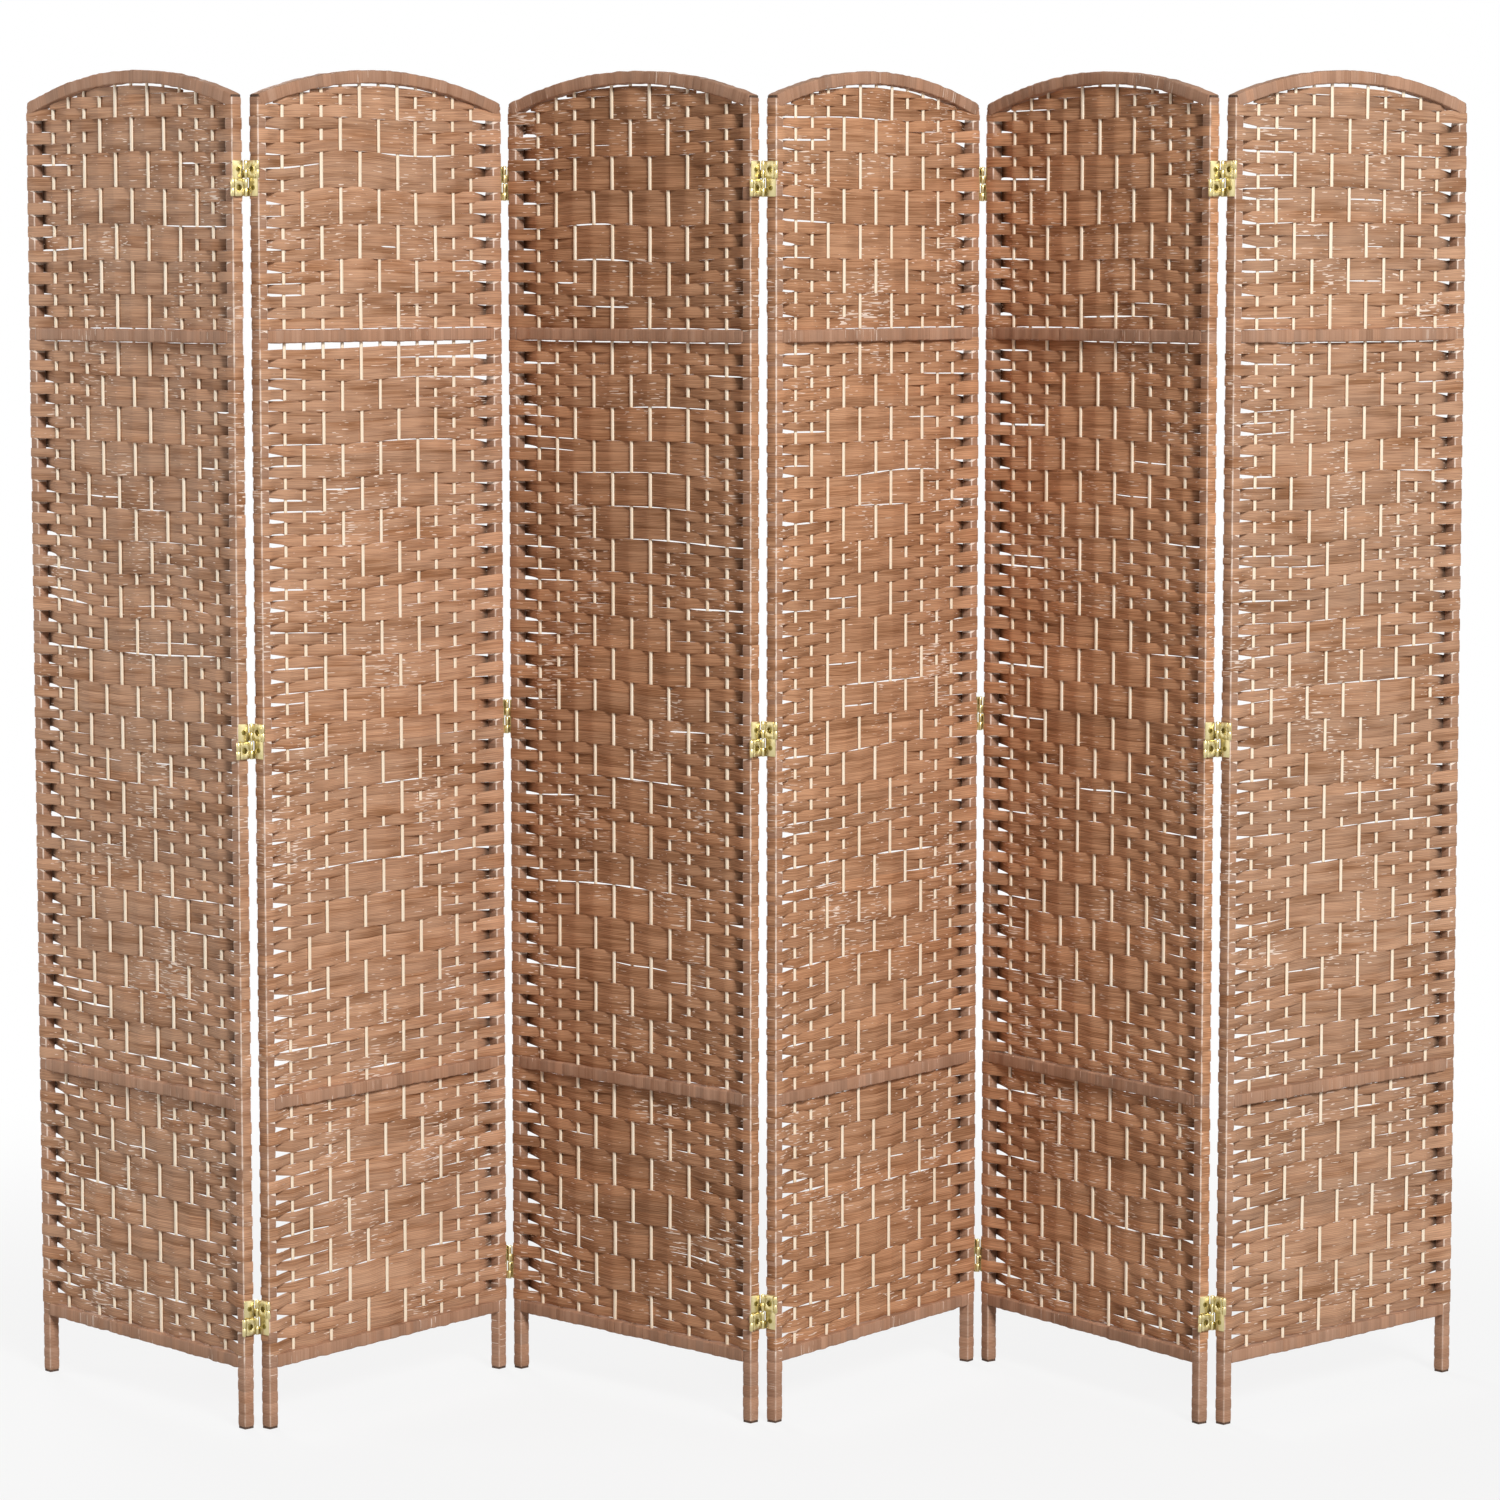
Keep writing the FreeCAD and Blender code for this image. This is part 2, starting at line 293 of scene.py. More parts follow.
class WindingProperties(bpy.types.PropertyGroup):
    """Sizes and colours of the cord wound round the posts and rails, and the colour of the wood in it."""

    band_width: bpy.props.FloatProperty(
        name="Band width", description="Width of one turn of the flat strand",
        default=0.0142, unit="LENGTH")
    cords: bpy.props.IntProperty(
        name="Cords", description="Cords side by side in one strand",
        default=7)
    ripple: bpy.props.FloatProperty(
        name="Cord ripple", description="Height of one cord above the groove beside it",
        default=0.0003, unit="LENGTH")
    groove: bpy.props.FloatProperty(
        name="Groove", description="Depth of the groove between two turns",
        default=0.00045, unit="LENGTH")
    unevenness: bpy.props.FloatProperty(
        name="Unevenness", description="How much one turn on a post stands out from another",
        default=0.0003, unit="LENGTH")
    rail_unevenness: bpy.props.FloatProperty(
        name="Rail unevenness", description="How much one turn on a rail stands out from another",
        default=0.0006, unit="LENGTH")
    # The rubbed corners are partly worn cord and partly a painted highlight on the wound corners.
    rub: bpy.props.FloatProperty(
        name="Rubbed edges", description="How pale the posts' corners are rubbed",
        default=0.85, subtype="FACTOR", min=0, max=1)
    bite: bpy.props.FloatProperty(
        name="Bite", description="How far a rail's winding goes into that of a post",
        default=0.0006, unit="LENGTH")
    corner_radius: bpy.props.FloatProperty(
        name="Corner radius", description="Radius of the wound corners",
        default=0.0018, unit="LENGTH")
    wedge: bpy.props.FloatProperty(
        name="Bare wedge",
        description="Most height of the bare wood between two straps, at a post's inner edge",
        default=0.0040, unit="LENGTH")
    bare_end: bpy.props.FloatProperty(
        name="Bare end", description="Width of a post's top that the arch's winding leaves bare",
        default=0.0030, unit="LENGTH")
    bare_tip: bpy.props.FloatProperty(
        name="Bare tip", description="Height of the bare wood at the top of a post",
        default=0.0028, unit="LENGTH")
    strap_room: bpy.props.FloatProperty(
        name="Strap room", description="How far the winding of a post lies inside the frame's face",
        default=0.0005, unit="LENGTH")
    strap_rise: bpy.props.FloatProperty(
        name="Strap rise",
        description="How far the woven rows stand out from the frame's face where they cross a post",
        default=0.0002, unit="LENGTH")
    colour: bpy.props.FloatVectorProperty(
        name="Winding colour", description="Colour of the wound paper cord",
        default=(0.511, 0.297, 0.196), subtype="COLOR")
    shade_colour: bpy.props.FloatVectorProperty(
        name="Winding shade", description="Colour of the dark streaks in the wound paper cord",
        default=(0.400, 0.215, 0.130), subtype="COLOR")
    wood_colour: bpy.props.FloatVectorProperty(
        name="Wood colour", description="Colour of the posts and rails, which show at their bare ends",
        default=(0.075, 0.045, 0.030), subtype="COLOR")


class HingeProperties(bpy.types.PropertyGroup):
    """Sizes and colours of the brass hinges."""

    barrel_radius: bpy.props.FloatProperty(
        name="Barrel radius", description="Outer radius of a rolled knuckle",
        default=0.0025, unit="LENGTH")
    pin_radius: bpy.props.FloatProperty(
        name="Pin radius", description="Radius of a pin's domed end",
        default=0.0016, unit="LENGTH")
    plate_thickness: bpy.props.FloatProperty(
        name="Plate thickness", description="Thickness of a leaf or link",
        default=0.0012, unit="LENGTH")
    half_gap: bpy.props.FloatProperty(
        name="Half gap", description="Gap between the upper and the lower half of a hinge",
        default=0.001, unit="LENGTH")
    knuckle_gap: bpy.props.FloatProperty(
        name="Knuckle gap", description="Gap between two knuckles on one pin",
        default=0.0003, unit="LENGTH")
    access_radius: bpy.props.FloatProperty(
        name="Access hole radius", description="Radius of the hole in a link that a screwdriver goes through",
        default=0.0036, unit="LENGTH")
    screw_radius: bpy.props.FloatProperty(
        name="Screw head radius", description="Radius of a screw's head",
        default=0.0032, unit="LENGTH")
    colour: bpy.props.FloatVectorProperty(
        name="Brass colour", description="Colour of the plated brass of the leaves and links",
        default=(0.64, 0.55, 0.29), subtype="COLOR")
    # Painted shade: the screws are darkened to stand for the shade in their countersunk holes.
    screw_shade_colour: bpy.props.FloatVectorProperty(
        name="Screw colour", description="Colour of the darkened screws",
        default=(0.27, 0.215, 0.06), subtype="COLOR")


class StageProperties(bpy.types.PropertyGroup):
    """The camera, the lamps and the floor."""

    camera_place: bpy.props.FloatVectorProperty(
        name="Camera place", description="Where the camera stands",
        default=(0.0045, -6.2272, 1.4449), subtype="TRANSLATION", unit="LENGTH")
    camera_pitch: bpy.props.FloatProperty(
        name="Camera pitch", description="How far the camera looks down",
        default=math.radians(5.563), subtype="ANGLE")
    lens: bpy.props.FloatProperty(
        name="Lens", description="Focal length in millimetres on a 36 mm sensor",
        default=117.24)
    key_power: bpy.props.FloatProperty(
        name="Key lamp", description="Power of the large soft lamp in front, at the right",
        default=980.0, unit="POWER")
    right_power: bpy.props.FloatProperty(
        name="Right lamp", description="Power of the wide lamp at the right",
        default=50.0, unit="POWER")
    left_power: bpy.props.FloatProperty(
        name="Left lamp", description="Power of the wide lamp at the left",
        default=48.0, unit="POWER")
    fill_power: bpy.props.FloatProperty(
        name="Fill lamp", description="Power of the soft lamp at the far left",
        default=25.0, unit="POWER")
    back_power: bpy.props.FloatProperty(
        name="Back lamp", description="Power of the soft lamp behind the screen",
        default=420.0, unit="POWER")
    ambient: bpy.props.FloatProperty(
        name="Ambient light", description="Level of the even light from all round",
        default=0.02)
    floor_colour: bpy.props.FloatVectorProperty(
        name="Floor colour", description="Colour of the floor",
        default=(0.52, 0.52, 0.52), subtype="COLOR")


def add_node(tree, kind, **values):
    """A node with some of its own settings."""
    node = tree.nodes.new(kind)
    for name, value in values.items():
        setattr(node, name, value)
    return node


def set_input(tree, node, name, value):
    """Link a socket to an input, or give it a plain value."""
    if isinstance(value, bpy.types.NodeSocket):
        tree.links.new(value, node.inputs[name])
    else:
        node.inputs[name].default_value = value


def calculate(tree, operation, first, second=0.0, third=0.0):
    """A sum of one, two or three values."""
    node = add_node(tree, "ShaderNodeMath", operation=operation)
    for place, value in enumerate((first, second, third)):
        set_input(tree, node, place, value)
    return node.outputs[0]


def stretch(tree, value, low, high):
    """A value spread from low and high to 0 and 1, with smooth ends."""
    node = add_node(tree, "ShaderNodeMapRange", interpolation_type="SMOOTHSTEP")
    set_input(tree, node, "Value", value)
    node.inputs["From Min"].default_value = low
    node.inputs["From Max"].default_value = high
    return node.outputs["Result"]


def mixed(tree, share, first, second, blend="MIX"):
    """Two colours mixed by a share."""
    node = add_node(tree, "ShaderNodeMix", data_type="RGBA", blend_type=blend)
    set_input(tree, node, 0, share)
    set_input(tree, node, 6, first)
    set_input(tree, node, 7, second)
    return node.outputs[2]


def noise(tree, vector, detail=2.0, roughness=0.5):
    """Soft noise over a vector that is already scaled."""
    node = add_node(tree, "ShaderNodeTexNoise")
    tree.links.new(vector, node.inputs["Vector"])
    node.inputs["Scale"].default_value = 1.0
    node.inputs["Detail"].default_value = detail
    node.inputs["Roughness"].default_value = roughness
    return node.outputs[0]


def object_noise(tree, scale, detail=2.0, roughness=0.5):
    """Soft noise over a piece's own place, with a scale along each axis."""
    place = add_node(tree, "ShaderNodeTexCoord")
    mapping = add_node(tree, "ShaderNodeMapping")
    mapping.inputs["Scale"].default_value = scale
    tree.links.new(place.outputs["Object"], mapping.inputs["Vector"])
    return noise(tree, mapping.outputs["Vector"], detail, roughness)


def scaled_vector(tree, values, scales):
    """A vector of three values, each with its own scale."""
    node = add_node(tree, "ShaderNodeCombineXYZ")
    for place, (value, scale) in enumerate(zip(values, scales)):
        tree.links.new(calculate(tree, "MULTIPLY", value, scale), node.inputs[place])
    return node.outputs[0]


def attribute(tree, name):
    """A value that the mesh holds at each point."""
    return add_node(tree, "ShaderNodeAttribute", attribute_name=name).outputs["Fac"]


def new_group(name, inputs, outputs):
    """An empty shader group with named sockets. Returns the group and its two end nodes."""
    group = bpy.data.node_groups.new(name, "ShaderNodeTree")
    for socket, kind in inputs:
        group.interface.new_socket(socket, in_out="INPUT", socket_type=kind)
    for socket, kind in outputs:
        group.interface.new_socket(socket, in_out="OUTPUT", socket_type=kind)
    start = group.nodes.new("NodeGroupInput")
    end = group.nodes.new("NodeGroupOutput")
    return group, start, end


def cord_colour(group, given, streak, blotch, ridge):
    """The cord's colour before it is worn: darker streaks, the strand's own tone and hue, painted shade where
    the strand turns behind posts and stakes, and painted shade in the furrows between the cords."""
    streak_share = 0.6
    shade_limits = (0.33, 0.62)
    tone_effect = 0.3
    tone_start = 0.85
    painted_shade_effect = -0.72
    hue_turns = 17.0
    hue_spreads = (0.0, 0.06, 0.12)
    ridge_effect = 0.35
    furrow_shade_level = 0.72
    furrow_shade_share = 0.7
    blotches = calculate(group, "MULTIPLY", blotch, 1 - streak_share)
    shade = calculate(group, "MULTIPLY_ADD", streak, streak_share, blotches)
    colour = mixed(group, stretch(group, shade, *shade_limits), given["Shade"], given["Base"])
    level = calculate(group, "MULTIPLY_ADD", given["Tone"], tone_effect, tone_start)
    # Painted shade: the colour is darkened where the strand turns behind a post or a stake.
    light = calculate(group, "MULTIPLY_ADD", given["Recess"], painted_shade_effect, 1.0)
    level = calculate(group, "MULTIPLY", level, light)
    hue = calculate(group, "FRACT", calculate(group, "MULTIPLY", given["Tone"], hue_turns))
    tint = add_node(group, "ShaderNodeCombineColor")
    for channel, spread in enumerate(hue_spreads):
        share = calculate(group, "MULTIPLY_ADD", hue, spread, 1 - spread / 2)
        group.links.new(calculate(group, "MULTIPLY", level, share), tint.inputs[channel])
    colour = mixed(group, 1.0, colour, tint.outputs[0], "MULTIPLY")
    # Painted shade in the furrows between the cords: the colour darkens where the ridge is low.
    furrow_shade = calculate(group, "MULTIPLY_ADD", ridge, ridge_effect, furrow_shade_level)
    dark = add_node(group, "ShaderNodeCombineColor")
    for channel in range(3):
        group.links.new(furrow_shade, dark.inputs[channel])
    return mixed(group, furrow_shade_share, colour, dark.outputs[0], "MULTIPLY")


def cord_paleness(group, given, place, blotch):
    """How pale the cord is worn: flecks in clusters, rubbed edges that are partly wear and partly a painted
    highlight, and bare wood.
    """
    fleck_scale = (70.0, 650.0, 33.0)
    cluster_scale = (9.0, 9.0, 9.0)
    cluster_effect = 0.6
    fleck_strength = 0.8
    rub_and_highlight_limits = (0.25, 0.6)
    bare_limits = (0.0, 0.0002)
    speck = noise(group, scaled_vector(group, place, fleck_scale), detail=0.0)
    cluster = object_noise(group, cluster_scale)
    limit = calculate(group, "ADD", given["Fleck Limit"], cluster_effect / 2)
    limit = calculate(group, "MULTIPLY_ADD", cluster, -cluster_effect, limit)
    fleck = calculate(group, "MULTIPLY", calculate(group, "GREATER_THAN", speck, limit), fleck_strength)
    # Rubbed edges: partly wear, partly a painted highlight on the corners.
    rubbed = calculate(group, "MULTIPLY", given["Rub"], stretch(group, blotch, *rub_and_highlight_limits))
    bare = stretch(group, given["Bare"], *bare_limits)
    return calculate(group, "MAXIMUM", calculate(group, "MAXIMUM", fleck, rubbed), bare)


def paper_cord_group():
    """Twisted paper cord: its colour, with worn and bare places, a painted highlight on rubbed corners and
    painted shade in the furrows and where it turns behind posts and stakes, its height, with a ridge for each
    cord and streaks along it, and its roughness."""
    name = "Paper cord"
    if name in bpy.data.node_groups:
        return bpy.data.node_groups[name]
    numbers = ("Along", "Across", "Tone", "Rub", "Bare", "Recess", "Cord Pitch", "Fleck Limit")
    colours = ("Base", "Shade", "Pale")
    inputs = [(socket, "NodeSocketFloat") for socket in numbers]
    inputs.extend((socket, "NodeSocketColor") for socket in colours)
    outputs = [("Colour", "NodeSocketColor"), ("Height", "NodeSocketFloat"), ("Roughness", "NodeSocketFloat")]
    group, start, end = new_group(name, inputs, outputs)
    given = start.outputs
    place = (given["Along"], given["Across"], given["Tone"])
    streak_scale = (14.0, 480.0, 91.0)
    blotch_scale = (9.0, 60.0, 47.0)
    ridge_height = 0.7
    streak_height = 0.5
    streak_roughness = 0.25
    least_roughness = 0.48
    streak = noise(group, scaled_vector(group, place, streak_scale), detail=3.0, roughness=0.65)
    blotch = noise(group, scaled_vector(group, place, blotch_scale))
    turns = calculate(group, "DIVIDE", given["Across"], given["Cord Pitch"])
    wave = calculate(group, "SINE", calculate(group, "MULTIPLY", turns, math.pi))
    ridge = calculate(group, "ABSOLUTE", wave)
    colour = cord_colour(group, given, streak, blotch, ridge)
    pale = cord_paleness(group, given, place, blotch)
    streaks = calculate(group, "MULTIPLY", streak, streak_height)
    height = calculate(group, "MULTIPLY_ADD", ridge, ridge_height, streaks)
    roughness = calculate(group, "MULTIPLY_ADD", streak, streak_roughness, least_roughness)
    group.links.new(mixed(group, pale, colour, given["Pale"]), end.inputs["Colour"])
    group.links.new(height, end.inputs["Height"])
    group.links.new(roughness, end.inputs["Roughness"])
    return group


def new_material(name):
    """A material with an empty Principled shader."""
    material = bpy.data.materials.new(name)
    material.use_nodes = True
    tree = material.node_tree
    return material, tree, tree.nodes["Principled BSDF"]


def bump_into(tree, shader, height, distance, strength):
    """A bump on the shader's normal."""
    bump = add_node(tree, "ShaderNodeBump")
    bump.inputs["Strength"].default_value = strength
    bump.inputs["Distance"].default_value = distance
    tree.links.new(height, bump.inputs["Height"])
    tree.links.new(bump.outputs["Normal"], shader.inputs["Normal"])


def paper_cord_material(name, colour, shade_colour, pale_colour, cord_pitch, fleck_limit):
    """Matt paper cord, for the woven strands and for the windings."""
    if name in bpy.data.materials:
        return bpy.data.materials[name]
    material, tree, shader = new_material(name)
    cord = add_node(tree, "ShaderNodeGroup", node_tree=paper_cord_group())
    for value in CORD_VALUES:
        tree.links.new(attribute(tree, value), cord.inputs[value.title()])
    cord.inputs["Cord Pitch"].default_value = cord_pitch
    cord.inputs["Fleck Limit"].default_value = fleck_limit
    cord.inputs["Base"].default_value = (*colour, 1)
    cord.inputs["Shade"].default_value = (*shade_colour, 1)
    cord.inputs["Pale"].default_value = (*pale_colour, 1)
    tree.links.new(cord.outputs["Colour"], shader.inputs["Base Color"])
    tree.links.new(cord.outputs["Roughness"], shader.inputs["Roughness"])
    bump_into(tree, shader, cord.outputs["Height"], distance=0.0004, strength=0.7)
    shader.inputs["Specular IOR Level"].default_value = 0.12
    return material


def grained_material(name, colour, grain_colour, roughness):
    """Wood with a fine grain along z."""
    if name in bpy.data.materials:
        return bpy.data.materials[name]
    material, tree, shader = new_material(name)
    grain_scale = (700.0, 700.0, 14.0)
    grain = object_noise(tree, grain_scale, detail=3.0, roughness=0.6)
    share = stretch(tree, grain, low=0.35, high=0.75)
    tree.links.new(mixed(tree, share, (*colour, 1), (*grain_colour, 1)), shader.inputs["Base Color"])
    bump_into(tree, shader, grain, distance=0.0002, strength=0.4)
    shader.inputs["Roughness"].default_value = roughness
    shader.inputs["Specular IOR Level"].default_value = 0.3
    return material


def brass_material(name, colour):
    """Plated brass, with clouds of tarnish."""
    if name in bpy.data.materials:
        return bpy.data.materials[name]
    material, tree, shader = new_material(name)
    cloud_scale = (90.0, 90.0, 90.0)
    tarnish_shares = (0.85, 0.8, 0.65)
    cloud_roughness = 0.2
    least_roughness = 0.2
    cloud = object_noise(tree, cloud_scale, detail=3.0, roughness=0.6)
    tarnish = tuple(channel * share for channel, share in zip(colour, tarnish_shares))
    share = stretch(tree, cloud, low=0.5, high=0.8)
    tree.links.new(mixed(tree, share, (*colour, 1), (*tarnish, 1)), shader.inputs["Base Color"])
    roughness = calculate(tree, "MULTIPLY_ADD", cloud, cloud_roughness, least_roughness)
    tree.links.new(roughness, shader.inputs["Roughness"])
    shader.inputs["Metallic"].default_value = 1.0
    return material


def tube_faces(sections, ring, first, is_loop):
    """Faces of a tube whose points are numbered section by section. It has flat ends, or is a closed loop."""
    faces = []
    count = sections * ring
    for section in range(sections if is_loop else sections - 1):
        near = first + section * ring
        far = first + (section + 1) * ring % count
        for corner in range(ring):
            other = (corner + 1) % ring
            faces.append((near + corner, near + other, far + other, far + corner))
    if not is_loop:
        faces.append(tuple(range(first + ring - 1, first - 1, -1)))
        faces.append(tuple(range(first + count - ring, first + count)))
    return faces


class TubeBuilder:
    """Gathers the tubes of one piece, with the values that its material reads at each point."""

    def __init__(self, *values):
        self.points = []
        self.faces = []
        self.values = {name: [] for name in values}
        self.count = 0

    def add(self, points, is_loop=False, **values):
        """Add one tube. Its points are an array of sections and ring, and each value fits that array."""
        sections, ring = points.shape[:2]
        self.faces.extend(tube_faces(sections, ring, self.count, is_loop))
        self.points.append(points.reshape(-1, 3))
        for name, store in self.values.items():
            store.append(np.broadcast_to(values[name], (sections, ring)).reshape(-1))
        self.count += sections * ring

    def finish(self, name, panel, material, slot, *nodes):
        """Make the piece, let it ride on its panel and stand for its nodes."""
        mesh = bpy.data.meshes.new(name)
        mesh.from_pydata(panel.place(np.concatenate(self.points)).tolist(), [], self.faces)
        for value, store in self.values.items():
            held = mesh.attributes.new(value, "FLOAT", "POINT")
            held.data.foreach_set("value", np.concatenate(store).astype(np.float32))
        mesh.shade_smooth()
        mesh.set_sharp_from_angle(angle=SHARP_ANGLE)
        show_piece(name, mesh, panel, material, nodes)


def show_piece(name, mesh, panel, material, nodes):
    """Link a mesh to the scene as a piece of a panel."""
    mesh.materials.append(material)
    mesh.update()
    piece = bpy.data.objects.new(name, mesh)
    bpy.context.scene.collection.objects.link(piece)
    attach(piece, panel.body)
    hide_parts(*[panel.node(kind) for kind in nodes])


def arch_height(x, inset):
    """Height of the arch above a place on the panel's width, at an inset from its outer edge."""
    return ARCH_CENTRE + np.sqrt((ARCH_RADIUS - inset) ** 2 - np.square(x))


def bay_limits(bay):
    """Bottom and top of a bay. The top of the last one is its highest point, under the arch."""
    bottom = RAIL_HEIGHTS[bay] + HALF_DEPTH
    if bay < ARCHED_BAY:
        return bottom, RAIL_HEIGHTS[bay + 1] - HALF_DEPTH
    return bottom, CROWN - 2 * HALF_DEPTH


def stake_shows(row, column):
    """Whether a row, counted from the top of its bay, passes behind a column. Rows alternate, but the
    middle row of each group of three follows its neighbours inside the diamond."""
    shows = (row + column) % 2 == 0
    group, line = divmod((row - 1) % REPEAT_ROWS, GROUP_ROWS)
    if group < DIAMOND_GROUPS and line == 1:
        half = DIAMOND_GROUPS // 2
        reach = half + 1 - abs(group - half)
        if abs(column - MIDDLE_COLUMN) <= reach:
            shows = not shows
    return shows


class SlitHabit(NamedTuple):
    """Slits along one kind of edge: how many are usual, the fewest and most columns that one spans, and the
    least and most of its height, as a share."""

    usual: float
    fewest: int
    most: int
    low: float
    high: float


PLAIN_SLITS = SlitHabit(usual=0.22, fewest=1, most=3, low=0.2, high=0.65)
GROUP_SLITS = SlitHabit(usual=0.35, fewest=2, most=6, low=0.2, high=0.65)
RAIL_SLITS = SlitHabit(usual=3.0, fewest=3, most=7, low=0.6, high=1.2)
SIDE_SLITS = SlitHabit(usual=0.35, fewest=1, most=3, low=0.3, high=0.8)


class BayRows:
    """The rows of one bay: where the edges between them run, and the gaps between them."""

    def __init__(self, panel, bay, strand):
        rng = np.random.default_rng((strand.seed, panel.number, bay))
        self.bottom, self.top = bay_limits(bay)
        self.count = BAY_ROWS[bay]
        self.is_arched = bay == ARCHED_BAY
        self.overlap = strand.overlap
        self.slip = strand.slip if (panel.number, bay) == SLIPPED_BAY else 0.0
        self.drifts = self.make_drifts(rng, strand.wander)
        self.slits = self.make_slits(rng, strand.slit, strand.looseness[panel.number - 1])
        self.arch_slit = strand.slit * rng.uniform(*ARCH_SLIT_HEIGHTS)
        self.arch_slit_middle = HALF_WIDTH * rng.uniform(*ARCH_SLIT_MIDDLES)
        self.arch_slit_reach = HALF_WIDTH * rng.uniform(*ARCH_SLIT_REACHES)

    def make_drifts(self, rng, wander):
        """How each edge strays from its level: by itself, tilted, bowed and waved, much like the edge above
        it and less beside the rails."""
        likeness = 0.86
        spread = 0.42
        calm_rows = 3
        drift = np.zeros(4)
        drifts = []
        for number in range(self.count + 1):
            drift = likeness * drift + rng.normal(0, spread, len(drift)) * wander
            calm = min(1.0, number / calm_rows, (self.count - number) / calm_rows)
            drifts.append(drift * calm)
        return drifts

    def make_slits(self, rng, height, looseness):
        """Slits under some rows, from one stake to another: long ones along the rails and between the groups
        of three rows, short ones elsewhere, and some beside the left post."""
        columns = [-INNER_HALF, *STAKE_COLUMNS, INNER_HALF]
        final = len(columns) - 1
        slits = []
        for number in range(self.count + 1):
            habit = PLAIN_SLITS
            usual = PLAIN_SLITS.usual * looseness
            if number % REPEAT_ROWS % GROUP_ROWS == 0:
                habit = GROUP_SLITS
                usual = GROUP_SLITS.usual * looseness
            if number in (0, self.count):
                habit = RAIL_SLITS
                usual = RAIL_SLITS.usual
            found = []
            for place in range(rng.poisson(usual)):
                first = rng.integers(0, final)
                last = min(first + rng.integers(habit.fewest, habit.most + 1), final)
                found.append((height * rng.uniform(habit.low, habit.high), columns[first], columns[last]))
            if rng.random() < SIDE_SLITS.usual * looseness:
                opening = height * rng.uniform(SIDE_SLITS.low, SIDE_SLITS.high)
                last = rng.integers(SIDE_SLITS.fewest, SIDE_SLITS.most + 1)
                found.append((opening, columns[0], columns[last]))
            slits.append(found)
        return slits

    def edge(self, number, x):
        """Height of the edge under a row. Edge 0 is the top of the first row."""
        wave_rate = 1.7
        phase = np.pi * x / HALF_WIDTH
        level, tilt, bow, wave = self.drifts[number]
        height = self.top - number * (self.top - self.bottom) / self.count - self.slipped(number, x)
        height = height + level + tilt * np.sin(phase / 2) + bow * np.cos(phase)
        return height + wave * np.sin(phase * wave_rate)

    def slipped(self, number, x):
        """How far the edge under a row has slipped down. The first row slipped most at its left."""
        if number == 0:
            return self.slip * (FIRST_ROW_SLIP - FIRST_ROW_TILT * x / INNER_HALF)
        return self.slip * max(0.0, 1 - number / SLIPPED_ROWS)

    def gap(self, number, x):
        """Gap at the edge under a row, less than nothing where two rows overlap."""
        bluntness = 4
        gap = np.full(np.shape(x), -self.overlap)
        if self.slip and number in SLIP_OPENINGS:
            gap = np.maximum(gap, self.slip * SLIP_OPENINGS[number] * x / INNER_HALF)
        for width, first, last in self.slits[number]:
            share = np.abs((2 * x - first - last) / (last - first))
            gap = np.maximum(gap, width * np.sqrt(np.clip(1 - share ** bluntness, 0, 1)))
        return gap

    def ceiling(self, x):
        """Height of the arch over the rows, less the slit along its middle."""
        least = 0.0004
        share = (x - self.arch_slit_middle) / self.arch_slit_reach
        gap = np.maximum(least, self.arch_slit * (1 - share ** 2))
        return arch_height(x, 2 * HALF_DEPTH) - gap


def crossing(steps, late=0.0):
    """How far a strand has crossed at steps from one knot to the next. It is softened at both ends, or turns
    close to a post: at the end where late is more than 0, at the start where it is less."""
    straightness = 0.75
    share = np.arange(steps) / steps
    if late > 0:
        return share ** late
    if late < 0:
        return 1 - (1 - share) ** -late
    return straightness * share + (1 - straightness) * (1 - np.cos(np.pi * share)) / 2


def strand_route(row, panel, strand, winding):
    """Plan of one row: round the left post, in and out of the stakes, and round the right post.
    Also gives how much each place is rubbed pale, partly as wear and partly as a painted highlight on the
    post's corner, and the side on which the row passes the posts."""
    span_steps = 7
    corner_steps = 3
    tuck = 0.001
    side = 1 if stake_shows(row, 0) else -1
    sunk = strand.thickness / 2 + strand.crown - winding.strap_rise
    face = HALF_DEPTH - sunk
    reach = HALF_WIDTH - sunk
    centre_x = HALF_WIDTH - winding.corner_radius
    centre_y = HALF_DEPTH - winding.corner_radius
    bow = STAKE_HALF_DEPTH * strand.stake_flatness + strand.thickness / 2 + strand.crown + strand.slack
    outer = [(reach - tuck, -side * centre_y, 0)]
    for share in (-0.7, 0.5):
        outer.append((reach, side * centre_y * share, 0))
    for step in range(corner_steps + 1):
        angle = math.pi / 2 * step / corner_steps
        rub = math.sin(math.pi * step / corner_steps)
        outer.append((centre_x + (reach - centre_x) * math.cos(angle),
                      side * (centre_y + (face - centre_y) * math.sin(angle)), rub))
    knots = [(-INNER_HALF, side * face)]
    for column, x in enumerate(STAKE_COLUMNS, 1):
        knots.append((x, bow if stake_shows(row, column) else -bow))
    knots.append((INNER_HALF, side * face))
    route = [(-x, y, rub) for x, y, rub in outer]
    left_turn, right_turn = strand.left_turn if panel.faces_left else strand.right_turn
    lateness = [-left_turn, *[0.0] * (len(STAKE_COLUMNS) - 1), right_turn]
    for (x_now, y_now), (x_next, y_next), late in zip(knots, knots[1:], lateness):
        across = np.linspace(x_now, x_next, span_steps, endpoint=False)
        depths = y_now + (y_next - y_now) * crossing(span_steps, late)
        route.extend((x, y, 0) for x, y in zip(across, depths))
    route.append((INNER_HALF, side * face, 0))
    route.extend(reversed(outer))
    return np.array(route), side


